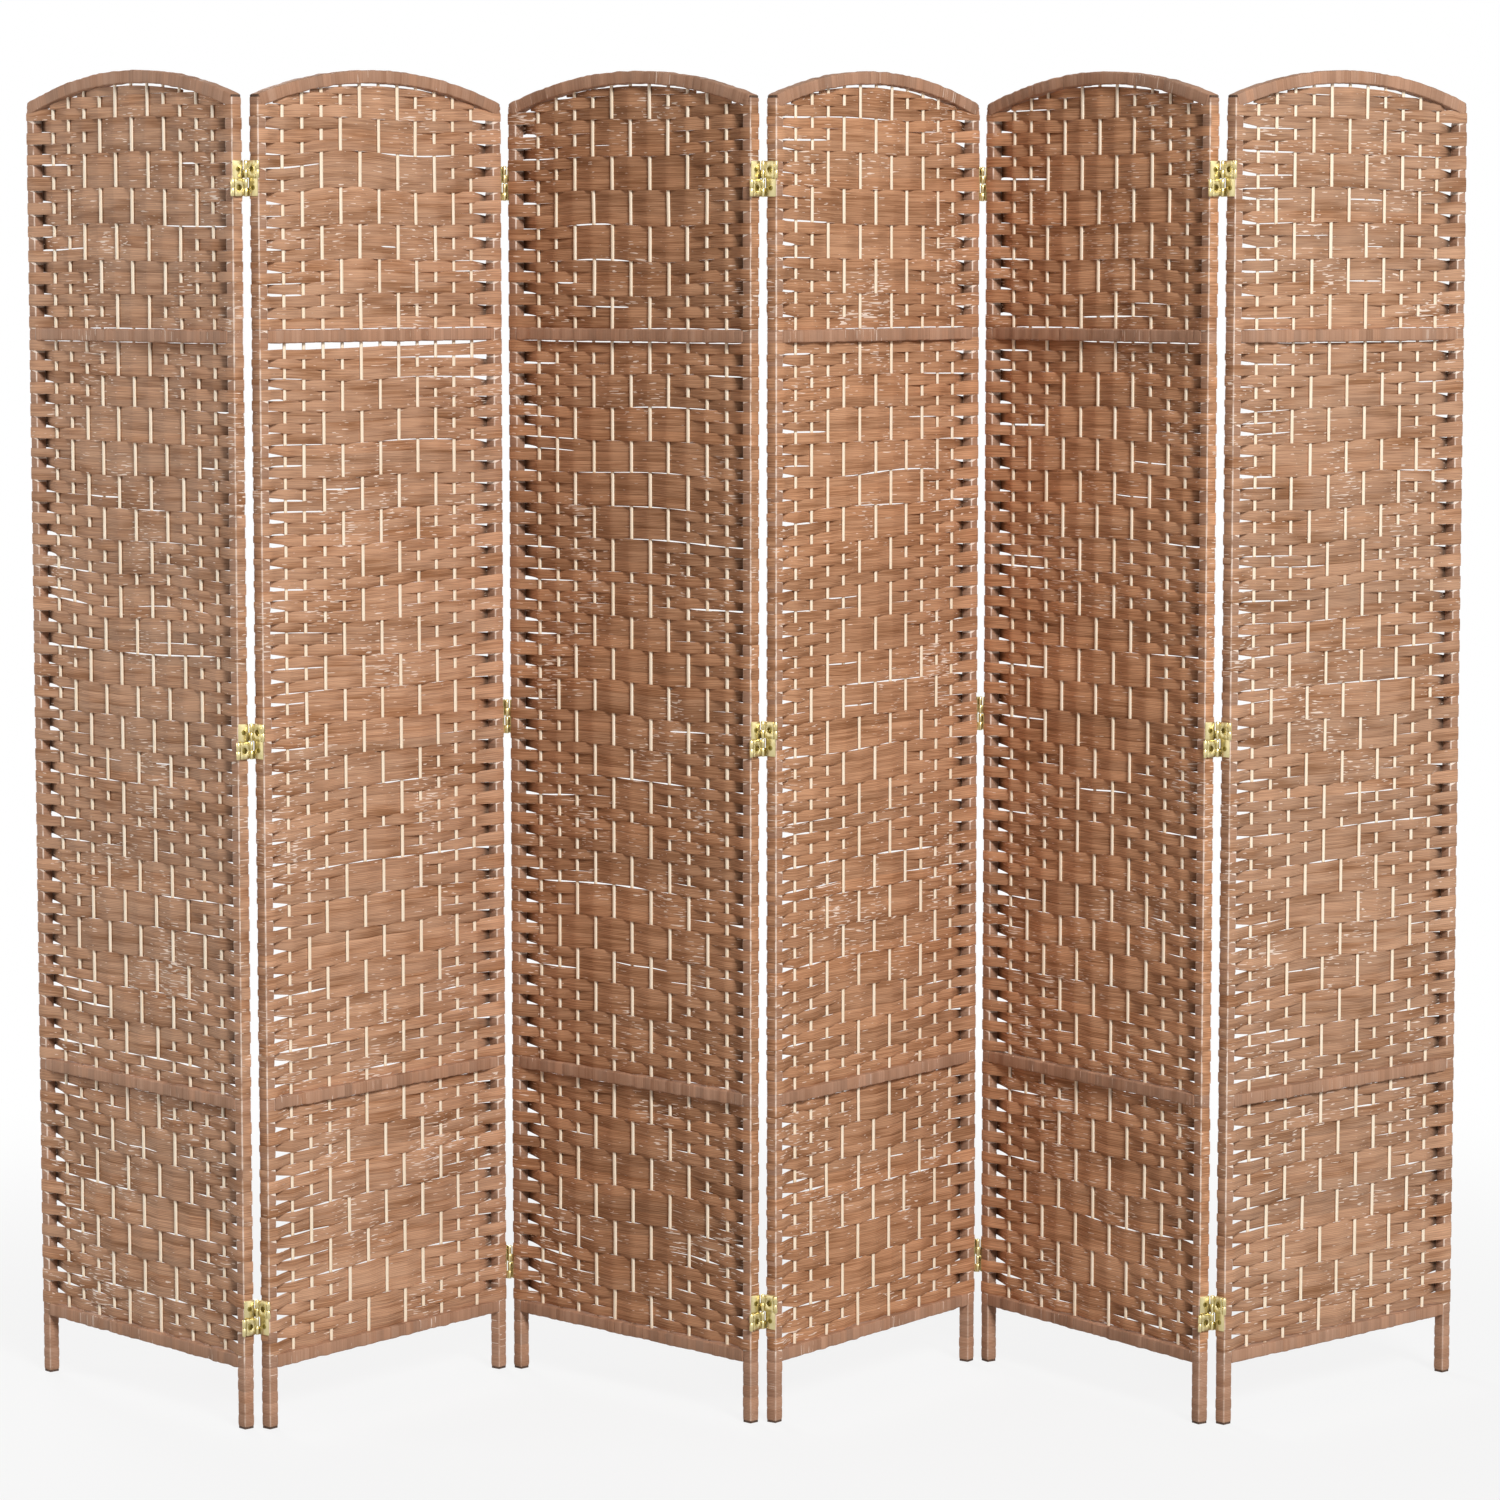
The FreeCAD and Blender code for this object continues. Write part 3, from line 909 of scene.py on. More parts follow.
def strand_ring(thickness, crown):
    """Section of a strand: places across its height, from -0.5 to 0.5, and out from its middle."""
    flat = thickness / 2
    edge = flat * 0.6
    shoulder = flat + crown * 0.7
    heights = np.array((0.0, 0.3, 0.46, 0.5, 0.5, 0.46, 0.3, 0.0, -0.3, -0.46, -0.5, -0.5, -0.46, -0.3))
    outs = np.array((flat + crown, shoulder, flat, edge, -edge, -flat, -shoulder,
                     -flat - crown, -shoulder, -flat, -edge, edge, flat, shoulder))
    return heights, outs


def add_strand(builder, rng, row, rows, panel, strand, winding):
    """One row of a bay as a flat strand."""
    route, side = strand_route(row, panel, strand, winding)
    dive_shade_slope = 0.75
    x = route[:, 0]
    inside = np.clip(x, -INNER_HALF, INNER_HALF)
    upper = rows.edge(row - 1, inside) - rows.gap(row - 1, inside) / 2
    lower = rows.edge(row, inside) + rows.gap(row, inside) / 2
    outer_stake = STAKE_COLUMNS[-1]
    near_post = np.clip((np.abs(x) - outer_stake) / (INNER_HALF - outer_stake), 0, 1)
    flare = strand.flare * near_post if side < 0 and not panel.faces_left else 0.0
    near_post = np.where((x < 0) & panel.faces_left, np.sqrt(near_post), near_post)
    pinch = strand.pinch * rng.uniform(*PINCH_SHARES) if side > 0 else 0.0
    pinches = strand.left_pinch if panel.faces_left else strand.right_pinch
    spare = (upper - lower) * near_post * pinch * np.where(x < 0, *pinches)
    upper = np.where(x > 0, upper - spare + flare, upper)
    lower = np.where(x > 0, lower, lower + spare)
    # Painted shade on the strand's ends behind the posts, darkest at the post.
    dive_shades = strand.left_dive_shade if panel.faces_left else strand.right_dive_shade
    reach = np.where(x < 0, *dive_shades)
    dive_shade = np.clip((np.abs(x) - INNER_HALF + reach) / (dive_shade_slope * reach), 0, 1)
    if rows.is_arched:
        ceiling = rows.ceiling(inside)
        least = 0.003
        kept = ceiling - lower > least
        if not kept.any():
            return
        route = route[kept]
        upper = np.minimum(upper, ceiling)[kept]
        lower = lower[kept]
        dive_shade = dive_shade[kept]
    plan = route[:, :2]
    slope = np.gradient(plan, axis=0)
    slope /= np.linalg.norm(slope, axis=1, keepdims=True)
    heights, outs = strand_ring(strand.thickness, strand.crown)
    points = np.empty((len(plan), len(heights), 3))
    points[..., 0] = plan[:, 0:1] - slope[:, 1:2] * outs
    points[..., 1] = plan[:, 1:2] + slope[:, 0:1] * outs
    points[..., 2] = ((upper + lower) / 2)[:, None] + (upper - lower)[:, None] * heights
    steps = np.linalg.norm(np.diff(plan, axis=0), axis=1)
    along = np.concatenate([[0.0], np.cumsum(steps)]) + rng.uniform(*STREAK_STARTS)
    tone = rng.uniform(*TONES) + strand.lightness[panel.number - 1]
    # Pale rub: a painted highlight, partly wear, where the strand rounds a post's corner, and the panel's own
    # wear.
    rub = np.maximum(route[:, 2:3] * winding.rub, strand.wear[panel.number - 1])
    # Painted shade: darker the further back the strand lies between the stakes, and on its ends behind a
    # post.
    behind = (1 - np.sign(outs) * plan[:, 1:2] / np.abs(plan[:, 1]).max()) / 2
    recess = np.maximum(dive_shade[:, None] * (outs * side < 0), strand.valley_painted_shade * behind)
    across = heights * winding.band_width
    builder.add(points, along=along[:, None], across=across, tone=tone, rub=rub, bare=0.0, recess=recess)


def rounded_square(half_x, half_y, radius):
    """Corners of a rectangle with round edges, counter-clockwise, and which of them are within an edge."""
    steps = 3
    places = []
    is_edge = []
    for corner, (sign_x, sign_y) in enumerate(((1, 1), (-1, 1), (-1, -1), (1, -1))):
        for step in range(steps + 1):
            angle = math.pi / 2 * (corner + step / steps)
            places.append((sign_x * (half_x - radius) + radius * math.cos(angle),
                           sign_y * (half_y - radius) + radius * math.sin(angle)))
            is_edge.append(1.0 if 0 < step < steps else 0.0)
    return np.array(places), np.array(is_edge)


def oval(half_x, half_y):
    """Corners of an oval, counter-clockwise."""
    steps = 16
    angles = np.linspace(0, 2 * np.pi, steps, endpoint=False)
    return np.stack([half_x * np.cos(angles), half_y * np.sin(angles)], axis=1)


def add_stake(builder, rng, x, bottom, top, flatness):
    """A slim oval stick, a little bent, with its ends in the winding."""
    bend = 0.0005
    bite = 0.001
    sections = 13
    heights = np.linspace(bottom - bite, top + bite, sections)
    share = (heights - bottom) / (top - bottom)
    bow = rng.normal(0, bend) * np.sin(np.pi * share)
    bow += rng.normal(0, bend) * np.sin(2 * np.pi * share)
    width = STAKE_WIDTH / 2 * rng.uniform(*STAKE_SHARES)
    corners = oval(width, STAKE_HALF_DEPTH * flatness)
    points = np.empty((sections, len(corners), 3))
    points[..., 0] = x + bow[:, None] + corners[:, 0]
    points[..., 1] = corners[:, 1]
    points[..., 2] = heights[:, None]
    builder.add(points)


def plain_turns(low, high, width):
    """Levels of turns of about one width, from low up to, but without, high. No wood shows there."""
    count = max(1, round((high - low) / width))
    return [(level, 0.0) for level in np.linspace(low, high, count, endpoint=False)]


def post_turns(rng, panel, side, strand, winding):
    """Levels between the turns on a post, from the foot up, and the height of the bare wood under each.
    Beside a bay the turns lie between the woven rows, and wood shows under the rows that pass in front."""
    turns = []
    start = WINDING_FOOT
    for bay in range(len(RAIL_HEIGHTS)):
        rows = BayRows(panel, bay, strand)
        turns.extend(plain_turns(start, rows.bottom, winding.band_width))
        for number in range(rows.count, -1, -1):
            level = float(rows.edge(number, side * INNER_HALF))
            if rows.is_arched and level > POST_TOP - winding.band_width:
                break
            wedge = winding.wedge * rng.uniform(*WEDGE_SHARES) if number % 2 else 0.0
            turns.append((level, wedge))
            start = level + winding.band_width
    top = POST_TOP - winding.bare_tip
    turns.extend(plain_turns(start, top, winding.band_width))
    turns.append((top, 0.0))
    return turns


def turn_profile(rng, turns, unevenness, marks):
    """For places along a wound member: the place, how far the winding stands out, its tone, the height of the
    bare wood under the turn above and how far below that turn the place is. Marks are the places across one
    turn, from 0 to 1, with the height there."""
    lead = 0.05
    profile = []
    for (low, wedge), (high, next_wedge) in zip(turns, turns[1:]):
        lift = rng.uniform(-1, 1) * unevenness
        tone = rng.uniform(*TONES)
        for share, rise in marks:
            bulge = lift * math.sin(math.pi * min(1.0, share + lead))
            below = (1 - share) * (high - low)
            bare = (next_wedge, below) if share else (wedge, 0.0)
            profile.append((low + share * (high - low), rise + bulge, tone, *bare))
    profile.append((turns[-1][0], marks[0][1], profile[-1][2], 0.0, 0.0))
    return np.array(profile)


def cord_marks(winding):
    """Places across one turn of a wound strand: a crest and a groove for each cord."""
    marks = [(0.0, -winding.groove)]
    for cord in range(winding.cords):
        marks.append(((cord + 0.5) / winding.cords, 0.0))
        if cord + 1 < winding.cords:
            marks.append(((cord + 1) / winding.cords, -winding.ripple))
    return marks


def band_marks(winding):
    """Places across one turn on a post: a plain band with rounded edges."""
    shoulder = -winding.groove * 0.4
    return [(0.0, -winding.groove), (0.07, shoulder), (0.25, 0.0), (0.75, 0.0), (0.93, shoulder)]


def add_wound_member(builder, rng, turns, marks, winding, room, rub, axes, inner=0):
    """A wound member. Axes gives, for a place along it, the middle of the section and the section's two axes.
    Bare wood shows on the side that inner names, -1 or 1 along the first axis. The corners are rubbed pale,
    partly as wear and partly as a painted highlight, and a foot is rubbed less."""
    foot_share = 0.35
    profile = turn_profile(rng, turns, winding.unevenness if inner else winding.rail_unevenness, marks)
    rings = []
    for place, rise in profile[:, :2]:
        half = HALF_DEPTH - room + rise
        corners, is_edge = rounded_square(half, half, winding.corner_radius)
        middle, first, second = axes(place)
        rings.append(middle + corners[:, 0:1] * first + corners[:, 1:2] * second)
    perimeter = np.linspace(0, 8 * HALF_DEPTH, len(is_edge), endpoint=False)
    is_inner = corners[:, 0] * inner > 0
    bare = profile[:, 3:4] * is_inner[None, :] - profile[:, 4:5]
    # Pale corners: partly wear, partly a painted highlight, with less of both on the feet.
    worn = np.where(profile[:, 0:1] > RAIL_HEIGHTS[0], rub, rub * foot_share)
    along = perimeter[None, :] + rng.uniform(*STREAK_STARTS)
    builder.add(np.array(rings), along=along, across=profile[:, 0:1], tone=profile[:, 2:3],
                rub=is_edge[None, :] * worn, bare=bare, recess=0.0)


def add_plate(builder, x_range, y_range, z_range, radius):
    """A flat plate that faces along x, with round corners and eased edges."""
    ease = 0.0002
    low, high = sorted(x_range)
    half_y = abs(y_range[1] - y_range[0]) / 2
    half_z = abs(z_range[1] - z_range[0]) / 2
    sections = []
    for x, inset in ((low, ease), (low + ease, 0.0), (high - ease, 0.0), (high, ease)):
        corners = rounded_square(half_y - inset, half_z - inset, radius)[0]
        ring = np.empty((len(corners), 3))
        ring[:, 0] = x
        ring[:, 1] = sum(y_range) / 2 + corners[:, 0]
        ring[:, 2] = sum(z_range) / 2 + corners[:, 1]
        sections.append(ring)
    builder.add(np.array(sections))


def add_holed_plate(builder, x_range, half_depth, z_range, hole_radius):
    """A plate that faces along x, with a round hole in its middle."""
    steps = 40
    squareness = 14
    ease = 0.0002
    low, high = sorted(x_range)
    middle = sum(z_range) / 2
    half_height = (z_range[1] - z_range[0]) / 2
    sections = []
    for step in range(steps):
        angle = 2 * math.pi * step / steps
        out_y = math.cos(angle)
        out_z = math.sin(angle)
        stretched = abs(out_y / half_depth) ** squareness + abs(out_z / half_height) ** squareness
        reach = stretched ** (-1 / squareness)
        ring = []
        for x, radius in ((high, hole_radius + ease), (high, reach - ease), (high - ease, reach),
                          (low + ease, reach), (low, reach - ease), (low, hole_radius + ease),
                          (low + ease, hole_radius), (high - ease, hole_radius)):
            ring.append((x, radius * out_y, middle + radius * out_z))
        sections.append(ring)
    builder.add(np.array(sections), is_loop=True)


def add_turned(builder, middle, axis, profile, steps=20):
    """A round piece. The profile is places along its axis, from low to high, with the radius at each. A
    radius may be a function of the angle."""
    angles = 2 * math.pi * np.arange(steps) / steps
    sections = []
    for place, radius in profile:
        radii = radius(angles) if callable(radius) else radius
        first = radii * np.cos(angles)
        second = radii * np.sin(angles)
        ring = np.empty((steps, 3))
        ring[:, axis] = place
        ring[:, (axis + 1) % 3] = first
        ring[:, (axis + 2) % 3] = second
        sections.append(middle + ring)
    builder.add(np.array(sections))


def add_knuckle(builder, pivot, depth, z_range, radius):
    """A rolled knuckle round a pivot."""
    ease = 0.0003
    low, high = z_range
    profile = [(low, radius - ease), (low + ease, radius), (high - ease, radius), (high, radius - ease)]
    add_turned(builder, np.array((pivot, depth, 0.0)), 2, profile)


class HingeEdge:
    """An edge of a panel that has hinges. In each half of a hinge the leaf has the lower knuckle and the link
    the one above it. The left panel's leaf is pivoted at the back above and at the front below, the right
    one's the other way round."""

    def __init__(self, panel, joint, hinge):
        self.pivot, self.depth = panel.local(joint["pos_m"])[:2]
        self.side = 1 if self.pivot > 0 else -1
        self.working = 1 if self.depth > 0 else -1
        self.face = self.side * (HALF_WIDTH + hinge.plate_thickness)
        self.hinge = hinge

    def halves(self):
        """For each half: bottom, top, the leaf's knuckle side, and whether its link rides with this panel."""
        for low, high in HINGE_SPANS:
            middle = (low + high) / 2
            yield middle + self.hinge.half_gap / 2, high, self.side, self.side != self.working
            yield low, middle - self.hinge.half_gap / 2, -self.side, -self.side != self.working

    def knuckle_spans(self, low, high):
        """Heights of the leaf's and of the link's knuckle."""
        middle = (low + high) / 2
        gap = self.hinge.knuckle_gap / 2
        return (low, middle - gap), (middle + gap, high)


def hinge_edges(panel, hinge):
    """The edges of a panel that are joined to another one."""
    for joint in frame["record"]["behaviour"]["joints"]:
        if panel.body in (joint["parent"], joint["child"]):
            yield HingeEdge(panel, joint, hinge)


class SCREEN_OT_wooden_frame(bpy.types.Operator):
    """Give the wooden posts and rails their finish"""

    bl_idname = "folding_screen.wooden_frame"
    bl_label = "Wooden frame"

    def execute(self, context):
        """Posts and rails keep their own shapes: only their ends show."""
        winding = context.scene.screen_winding
        grain_lift = 2.2
        grain = tuple(channel * grain_lift for channel in winding.wood_colour)
        wood = grained_material("Stained wood", winding.wood_colour, grain, roughness=0.7)
        for panel in PANELS:
            for kind in ("posts", "arched_top_rail", "cross_rails"):
                mesh = frame["nodes"][panel.node(kind)].data
                mesh.materials.clear()
                mesh.materials.append(wood)
        return {"FINISHED"}


class SCREEN_OT_stakes(bpy.types.Operator):
    """Stand the pale stakes in the bays"""

    bl_idname = "folding_screen.stakes"
    bl_label = "Stakes"

    def execute(self, context):
        """All the stakes of a panel are one piece."""
        strand = context.scene.screen_strand
        wood = grained_material("Pale stake wood", strand.stake_colour, strand.stake_edge_colour,
                                roughness=0.55)
        for panel in PANELS:
            rng = np.random.default_rng((strand.seed, panel.number, STAKE_STREAM))
            builder = TubeBuilder()
            for bay in range(len(RAIL_HEIGHTS)):
                bottom, top = bay_limits(bay)
                for x in STAKE_COLUMNS:
                    if bay == ARCHED_BAY:
                        top = arch_height(abs(x) + STAKE_WIDTH / 2, 2 * HALF_DEPTH)
                    add_stake(builder, rng, x, bottom, top, strand.stake_flatness)
            builder.finish(panel.node("pale_stakes"), panel, wood, "stake_wood", "stakes")
        return {"FINISHED"}


class SCREEN_OT_strands(bpy.types.Operator):
    """Weave the flat strands in and out of the stakes"""

    bl_idname = "folding_screen.strands"
    bl_label = "Woven strands"

    def execute(self, context):
        """Each bay of a panel is one piece."""
        strand = context.scene.screen_strand
        winding = context.scene.screen_winding
        paper = paper_cord_material("Woven strand", strand.colour, strand.shade_colour, strand.pale_colour,
                                    winding.band_width / winding.cords, WOVEN_FLECK_LIMIT)
        for panel in PANELS:
            rng = np.random.default_rng((strand.seed, panel.number, STRAND_STREAM))
            for bay, name in enumerate(BAY_NAMES):
                builder = TubeBuilder(*CORD_VALUES)
                rows = BayRows(panel, bay, strand)
                for row in range(1, rows.count + 1):
                    add_strand(builder, rng, row, rows, panel, strand, winding)
                builder.finish(panel.node(name + "_weave"), panel, paper, "woven_strand", "weave")
        return {"FINISHED"}


class SCREEN_OT_winding(bpy.types.Operator):
    """Wind flat strands round the posts and the rails"""

    bl_idname = "folding_screen.winding"
    bl_label = "Frame winding"

    def execute(self, context):
        """Posts have plain bands, rails show each cord of the strand."""
        strand = context.scene.screen_strand
        winding = context.scene.screen_winding
        paper = paper_cord_material("Wound strand", winding.colour, winding.shade_colour, strand.pale_colour,
                                    winding.band_width / winding.cords, WOUND_FLECK_LIMIT)
        for panel in PANELS:
            rng = np.random.default_rng((strand.seed, panel.number, WINDING_STREAM))
            builder = TubeBuilder(*CORD_VALUES)
            for side in (-1, 1):
                self.wind_post(builder, rng, panel, side, strand, winding)
            for height in RAIL_HEIGHTS:
                self.wind_rail(builder, rng, height, winding)
            self.wind_arch(builder, rng, winding)
            builder.finish(panel.node("wound_strand"), panel, paper, "winding_cord", "frame_winding")
        return {"FINISHED"}

    def wind_post(self, builder, rng, panel, side, strand, winding):
        """Bands from the foot to the top of a post."""
        middle = side * (HALF_WIDTH - HALF_DEPTH)

        def axes(height):
            return np.array((middle, 0.0, height)), X_AXIS, Y_AXIS

        turns = post_turns(rng, panel, side, strand, winding)
        marks = band_marks(winding)
        add_wound_member(builder, rng, turns, marks, winding, winding.strap_room, winding.rub, axes, -side)

    def wind_rail(self, builder, rng, height, winding):
        """Turns from post to post along a straight rail."""
        end = INNER_HALF + winding.bite

        def axes(x):
            return np.array((x, 0.0, height)), Y_AXIS, Z_AXIS

        turns = plain_turns(-end, end, winding.band_width) + [(end, 0.0)]
        add_wound_member(builder, rng, turns, cord_marks(winding), winding, 0.0, 0.0, axes)

    def wind_arch(self, builder, rng, winding):
        """Turns along the arched top rail and over the tops of the posts."""
        radius = ARCH_RADIUS - HALF_DEPTH
        end = radius * math.asin((HALF_WIDTH - winding.bare_end) / ARCH_RADIUS)

        def axes(arc):
            up = np.array((math.sin(arc / radius), 0.0, math.cos(arc / radius)))
            return np.array((0.0, 0.0, ARCH_CENTRE)) + radius * up, Y_AXIS, up

        turns = plain_turns(-end, end, winding.band_width) + [(end, 0.0)]
        add_wound_member(builder, rng, turns, cord_marks(winding), winding, 0.0, 0.0, axes)


class SCREEN_OT_hinge_leaves(bpy.types.Operator):
    """Make the brass leaves on the edges of the posts"""

    bl_idname = "folding_screen.hinge_leaves"
    bl_label = "Hinge leaves"

    def execute(self, context):
        """A leaf is one plate with a knuckle in front and one behind."""
        hinge = context.scene.screen_hinge
        brass = brass_material("Plated brass", hinge.colour)
        corner = 0.0012
        for panel in PANELS:
            builder = TubeBuilder()
            for edge in hinge_edges(panel, hinge):
                x_range = (edge.side * HALF_WIDTH, edge.face)
                for low, high in HINGE_SPANS:
                    add_plate(builder, x_range, (-LEAF_HALF, LEAF_HALF), (low, high), corner)
                for low, high, knuckle_side, has_link in edge.halves():
                    span = edge.knuckle_spans(low, high)[0]
                    depth = knuckle_side * abs(edge.depth)
                    strip = sorted((knuckle_side * LEAF_HALF / 2, depth))
                    add_plate(builder, x_range, strip, span, corner / 2)
                    add_knuckle(builder, edge.pivot, depth, span, hinge.barrel_radius)
            builder.finish(panel.node("brass_leaves"), panel, brass, "hinge_brass", "hinge_leaves")
        return {"FINISHED"}


class SCREEN_OT_hinge_links(bpy.types.Operator):
    """Make the brass links and pins that join the leaves crosswise"""

    bl_idname = "folding_screen.hinge_links"
    bl_label = "Hinge links and pins"

    def execute(self, context):
        """A link is a holed plate with a knuckle at each end. Its pin shows at both ends of its barrel."""
        strip_share = 0.6
        hinge = context.scene.screen_hinge
        brass = brass_material("Plated brass", hinge.colour)
        half = hinge.plate_thickness / 2
        for panel in PANELS:
            builder = TubeBuilder()
            for edge in hinge_edges(panel, hinge):
                x_range = (edge.pivot - half, edge.pivot + half)
                reach = abs(edge.depth) - hinge.barrel_radius - 2 * hinge.knuckle_gap
                for low, high, knuckle_side, has_link in edge.halves():
                    if not has_link:
                        continue
                    add_holed_plate(builder, x_range, reach, (low, high), hinge.access_radius)
                    span = edge.knuckle_spans(low, high)[1]
                    for depth in (-abs(edge.depth), abs(edge.depth)):
                        add_plate(builder, x_range, sorted((depth * strip_share, depth)), span, half / 2)
                        add_knuckle(builder, edge.pivot, depth, span, hinge.barrel_radius)
                    self.add_pin(builder, edge, low, high, hinge)
            name = panel.node("brass_links")
            builder.finish(name, panel, brass, "hinge_brass", "hinge_links", "hinge_pins")
        return {"FINISHED"}

    def add_pin(self, builder, edge, low, high, hinge):
        """The pin of a working barrel, with domed ends."""
        dome = 0.0004
        steps = 12
        shoulder = hinge.pin_radius * 0.85
        tip = hinge.pin_radius * 0.5
        profile = [(low - dome, tip), (low - dome / 2, shoulder), (low, hinge.pin_radius),
                   (high, hinge.pin_radius), (high + dome / 2, shoulder), (high + dome, tip)]
        add_turned(builder, np.array((edge.pivot, edge.depth, 0.0)), 2, profile, steps)


class SCREEN_OT_hinge_screws(bpy.types.Operator):
    """Drive the screws through the leaves"""

    bl_idname = "folding_screen.hinge_screws"
    bl_label = "Hinge screws"

    def execute(self, context):
        """Only the domed heads show, each with a cross-shaped slot."""
        hinge = context.scene.screen_hinge
        # The screws' dark colour is painted shade for their countersunk holes.
        brass = brass_material("Screw brass", hinge.screw_shade_colour)
        radius = hinge.screw_radius
        core = 0.0003
        arm = radius * 0.32
        narrowness = 3
        steps = 24

        def cross(angles):
            return core + arm * np.abs(np.cos(2 * angles)) ** narrowness

        head = [(-0.0004, radius * 0.9), (0.0001, radius), (0.0003, radius * 0.85), (0.0005, radius * 0.6),
                (0.0005, cross), (0.0, cross)]
        for panel in PANELS:
            builder = TubeBuilder()
            for edge in hinge_edges(panel, hinge):
                profile = [(edge.face + edge.side * out, size) for out, size in head]
                for low, high, knuckle_side, has_link in edge.halves():
                    middle = np.array((0.0, 0.0, (low + high) / 2))
                    add_turned(builder, middle, 0, profile[::edge.side], steps)
            builder.finish(panel.node("brass_screws"), panel, brass, "screw_brass", "hinge_screws")
        return {"FINISHED"}


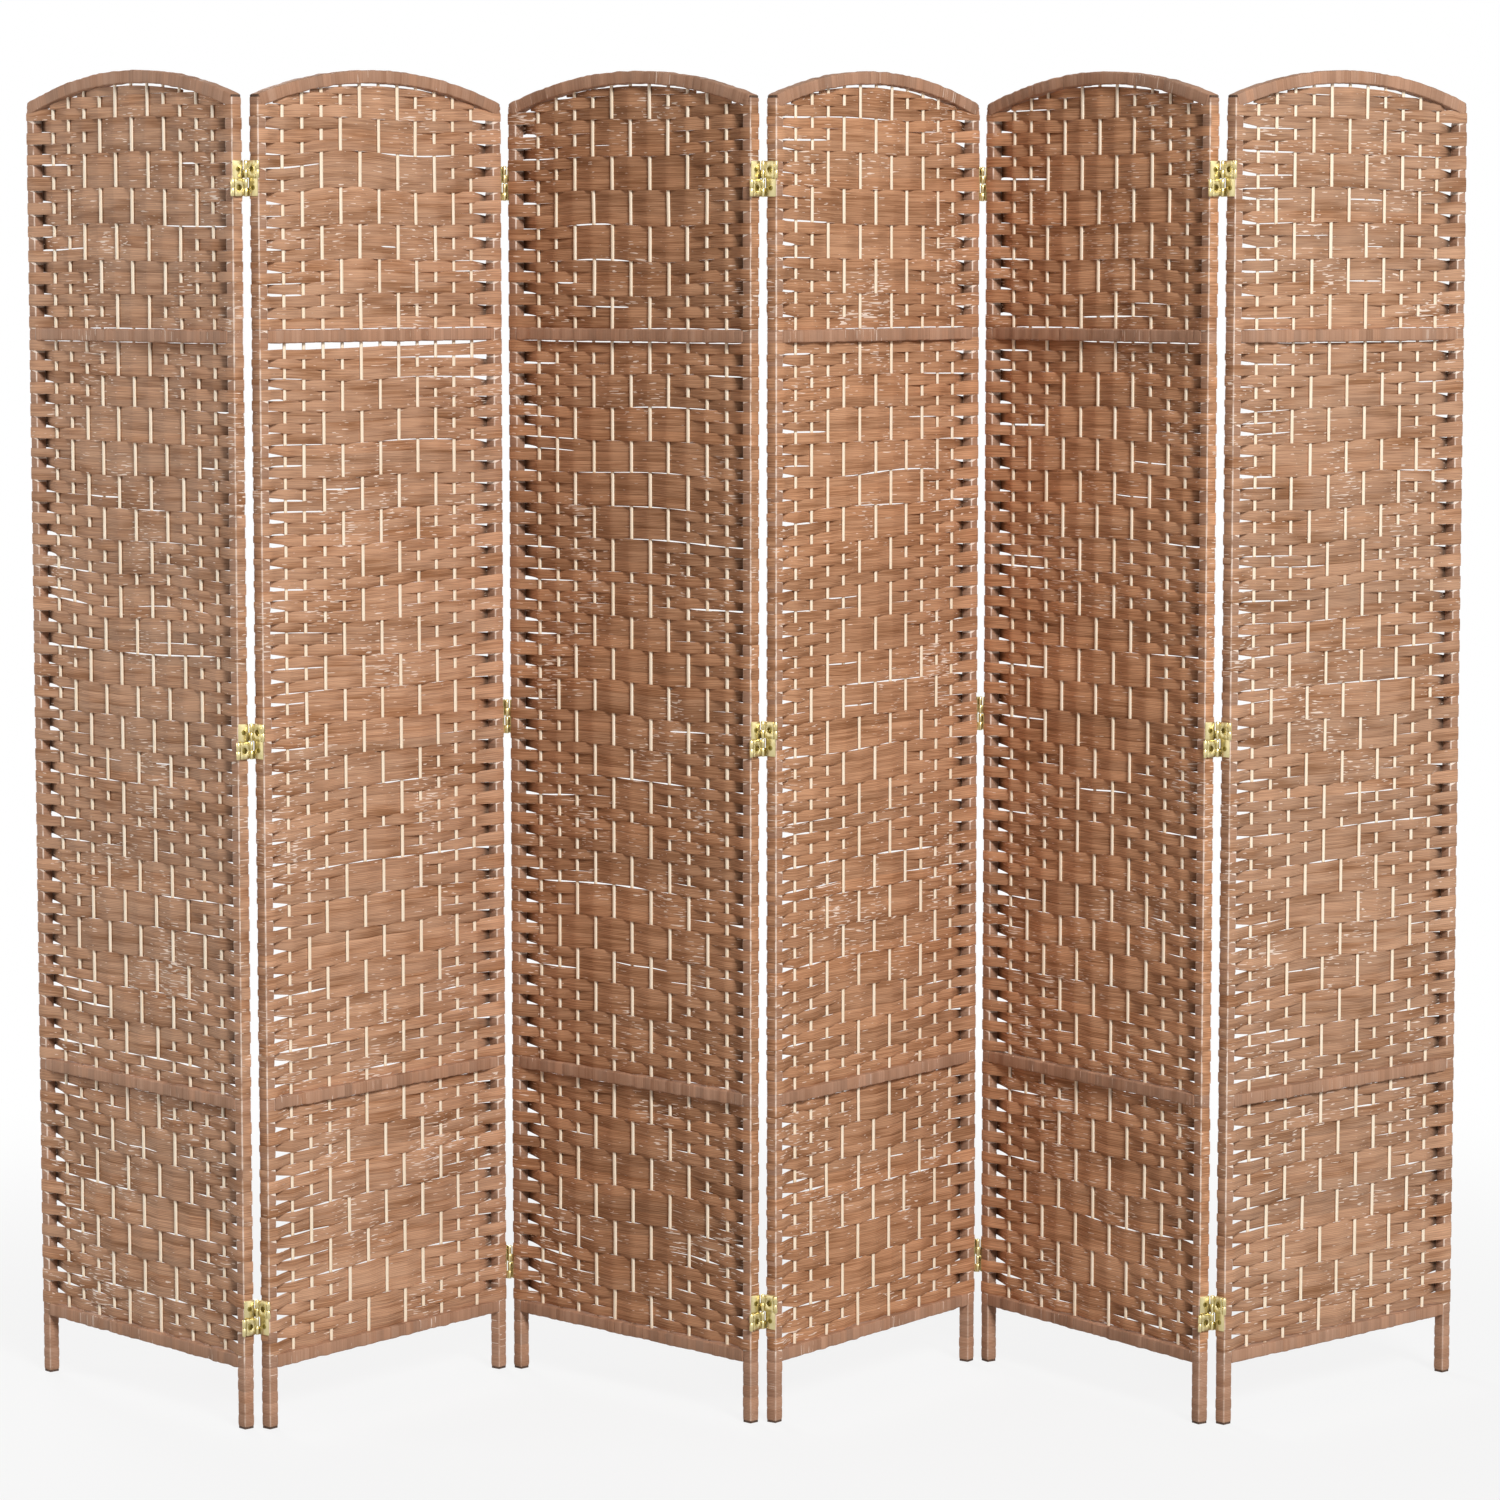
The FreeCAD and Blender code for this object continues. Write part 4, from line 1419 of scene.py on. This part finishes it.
class SCREEN_OT_stage(bpy.types.Operator):
    """Set up the floor, the lamps, the light all round and the camera"""

    bl_idname = "folding_screen.stage"
    bl_label = "Stage"

    def execute(self, context):
        """A plain pale floor under soft studio light."""
        stage = context.scene.screen_stage
        self.make_floor(context, stage)
        self.make_light(context, stage)
        self.make_camera(context, stage)
        context.scene.view_settings.view_transform = "Standard"
        return {"FINISHED"}

    def make_floor(self, context, stage):
        """A wide floor that keeps the screen's shadow and turns white away from it."""
        half = 12.0
        level = -0.0005
        shadow_limits = (1.0, 2.6)
        white_share = 0.86
        mesh = bpy.data.meshes.new("floor")
        corners = [(-half, -half, level), (half, -half, level), (half, half, level), (-half, half, level)]
        mesh.from_pydata(corners, [], [(0, 1, 2, 3)])
        material, tree, shader = new_material("Pale floor")
        shader.inputs["Base Color"].default_value = (*stage.floor_colour, 1)
        shader.inputs["Roughness"].default_value = 0.9
        shader.inputs["Specular IOR Level"].default_value = 0.1
        white = add_node(tree, "ShaderNodeEmission")
        path = add_node(tree, "ShaderNodeLightPath")
        place = add_node(tree, "ShaderNodeTexCoord")
        far = add_node(tree, "ShaderNodeVectorMath", operation="LENGTH")
        tree.links.new(place.outputs["Object"], far.inputs[0])
        away = stretch(tree, far.outputs["Value"], *shadow_limits)
        share = calculate(tree, "MULTIPLY_ADD", away, 1 - white_share, white_share)
        seen = calculate(tree, "MAXIMUM", path.outputs["Is Camera Ray"], path.outputs["Is Glossy Ray"])
        blend = add_node(tree, "ShaderNodeMixShader")
        tree.links.new(calculate(tree, "MULTIPLY", share, seen), blend.inputs[0])
        tree.links.new(shader.outputs[0], blend.inputs[1])
        tree.links.new(white.outputs[0], blend.inputs[2])
        tree.links.new(blend.outputs[0], tree.nodes["Material Output"].inputs["Surface"])
        mesh.materials.append(material)
        floor = bpy.data.objects.new("floor", mesh)
        context.scene.collection.objects.link(floor)

    def make_light(self, context, stage):
        """Even light from all round, white to the camera, and large soft lamps."""
        world = bpy.data.worlds.new("Studio")
        context.scene.world = world
        world.use_nodes = True
        tree = world.node_tree
        tree.nodes.clear()
        path = add_node(tree, "ShaderNodeLightPath")
        seen = calculate(tree, "MAXIMUM", path.outputs["Is Camera Ray"], path.outputs["Is Glossy Ray"])
        seen = calculate(tree, "MAXIMUM", seen, path.outputs["Is Transmission Ray"])
        background = add_node(tree, "ShaderNodeBackground")
        white = (1.0, 1.0, 1.0, 1.0)
        even = (stage.ambient, stage.ambient, stage.ambient, 1.0)
        tree.links.new(mixed(tree, seen, even, white), background.inputs["Color"])
        output = add_node(tree, "ShaderNodeOutputWorld")
        tree.links.new(background.outputs[0], output.inputs["Surface"])
        middle = Vector((0.0, 0.0, CROWN / 2))
        for name, place, size, power in (
                ("key", (3.4, -8.4, 6.2), 2.6, stage.key_power),
                ("right", (5.9, -2.75, 2.4), 5.0, stage.right_power),
                ("left", (-5.9, -2.75, 2.4), 5.0, stage.left_power),
                ("fill", (-3.3, 0.35, 1.6), 1.0, stage.fill_power),
                ("back", (-3.5, 7.5, 4.5), 3.0, stage.back_power)):
            lamp = bpy.data.lights.new(name, "AREA")
            lamp.size = size
            lamp.energy = power
            holder = bpy.data.objects.new(name, lamp)
            holder.location = place
            holder.rotation_euler = (middle - Vector(place)).to_track_quat("-Z", "Y").to_euler()
            context.scene.collection.objects.link(holder)

    def make_camera(self, context, stage):
        """The camera stands in front of the screen and looks a little down."""
        lens = bpy.data.cameras.new("camera")
        lens.lens = stage.lens
        lens.sensor_width = SENSOR_WIDTH
        holder = bpy.data.objects.new("camera", lens)
        holder.location = stage.camera_place
        holder.rotation_euler = (math.pi / 2 - stage.camera_pitch, 0.0, 0.0)
        context.scene.collection.objects.link(holder)
        context.scene.camera = holder


class SCREEN_PT_build(bpy.types.Panel):
    """The screen's pieces, in the order in which they are made"""

    bl_label = "Folding screen"
    bl_space_type = "VIEW_3D"
    bl_region_type = "UI"
    bl_category = "Screen"

    def draw(self, context):
        """List the pieces and their settings."""
        for operator in OPERATORS:
            self.layout.operator(operator.bl_idname)
        for settings in SETTINGS:
            group = getattr(context.scene, settings)
            for name in group.__annotations__:
                self.layout.prop(group, name)


SETTINGS = {
    "screen_strand": StrandProperties,
    "screen_winding": WindingProperties,
    "screen_hinge": HingeProperties,
    "screen_stage": StageProperties,
}
OPERATORS = (
    SCREEN_OT_wooden_frame,
    SCREEN_OT_stakes,
    SCREEN_OT_strands,
    SCREEN_OT_winding,
    SCREEN_OT_hinge_leaves,
    SCREEN_OT_hinge_links,
    SCREEN_OT_hinge_screws,
    SCREEN_OT_stage,
)


def register():
    """Add the classes and the settings."""
    for item in (*SETTINGS.values(), *OPERATORS, SCREEN_PT_build):
        bpy.utils.register_class(item)
    for name, group in SETTINGS.items():
        setattr(bpy.types.Scene, name, bpy.props.PointerProperty(type=group))


def unregister():
    """Take the settings and the classes away again."""
    for name in SETTINGS:
        delattr(bpy.types.Scene, name)
    for item in reversed((*SETTINGS.values(), *OPERATORS, SCREEN_PT_build)):
        bpy.utils.unregister_class(item)


def main():
    """Make the pieces and the stage."""
    register()
    bpy.ops.folding_screen.wooden_frame()
    bpy.ops.folding_screen.stakes()
    bpy.ops.folding_screen.strands()
    bpy.ops.folding_screen.winding()
    bpy.ops.folding_screen.hinge_leaves()
    bpy.ops.folding_screen.hinge_links()
    bpy.ops.folding_screen.hinge_screws()
    bpy.ops.folding_screen.stage()


if __name__ == "__main__":
    main()
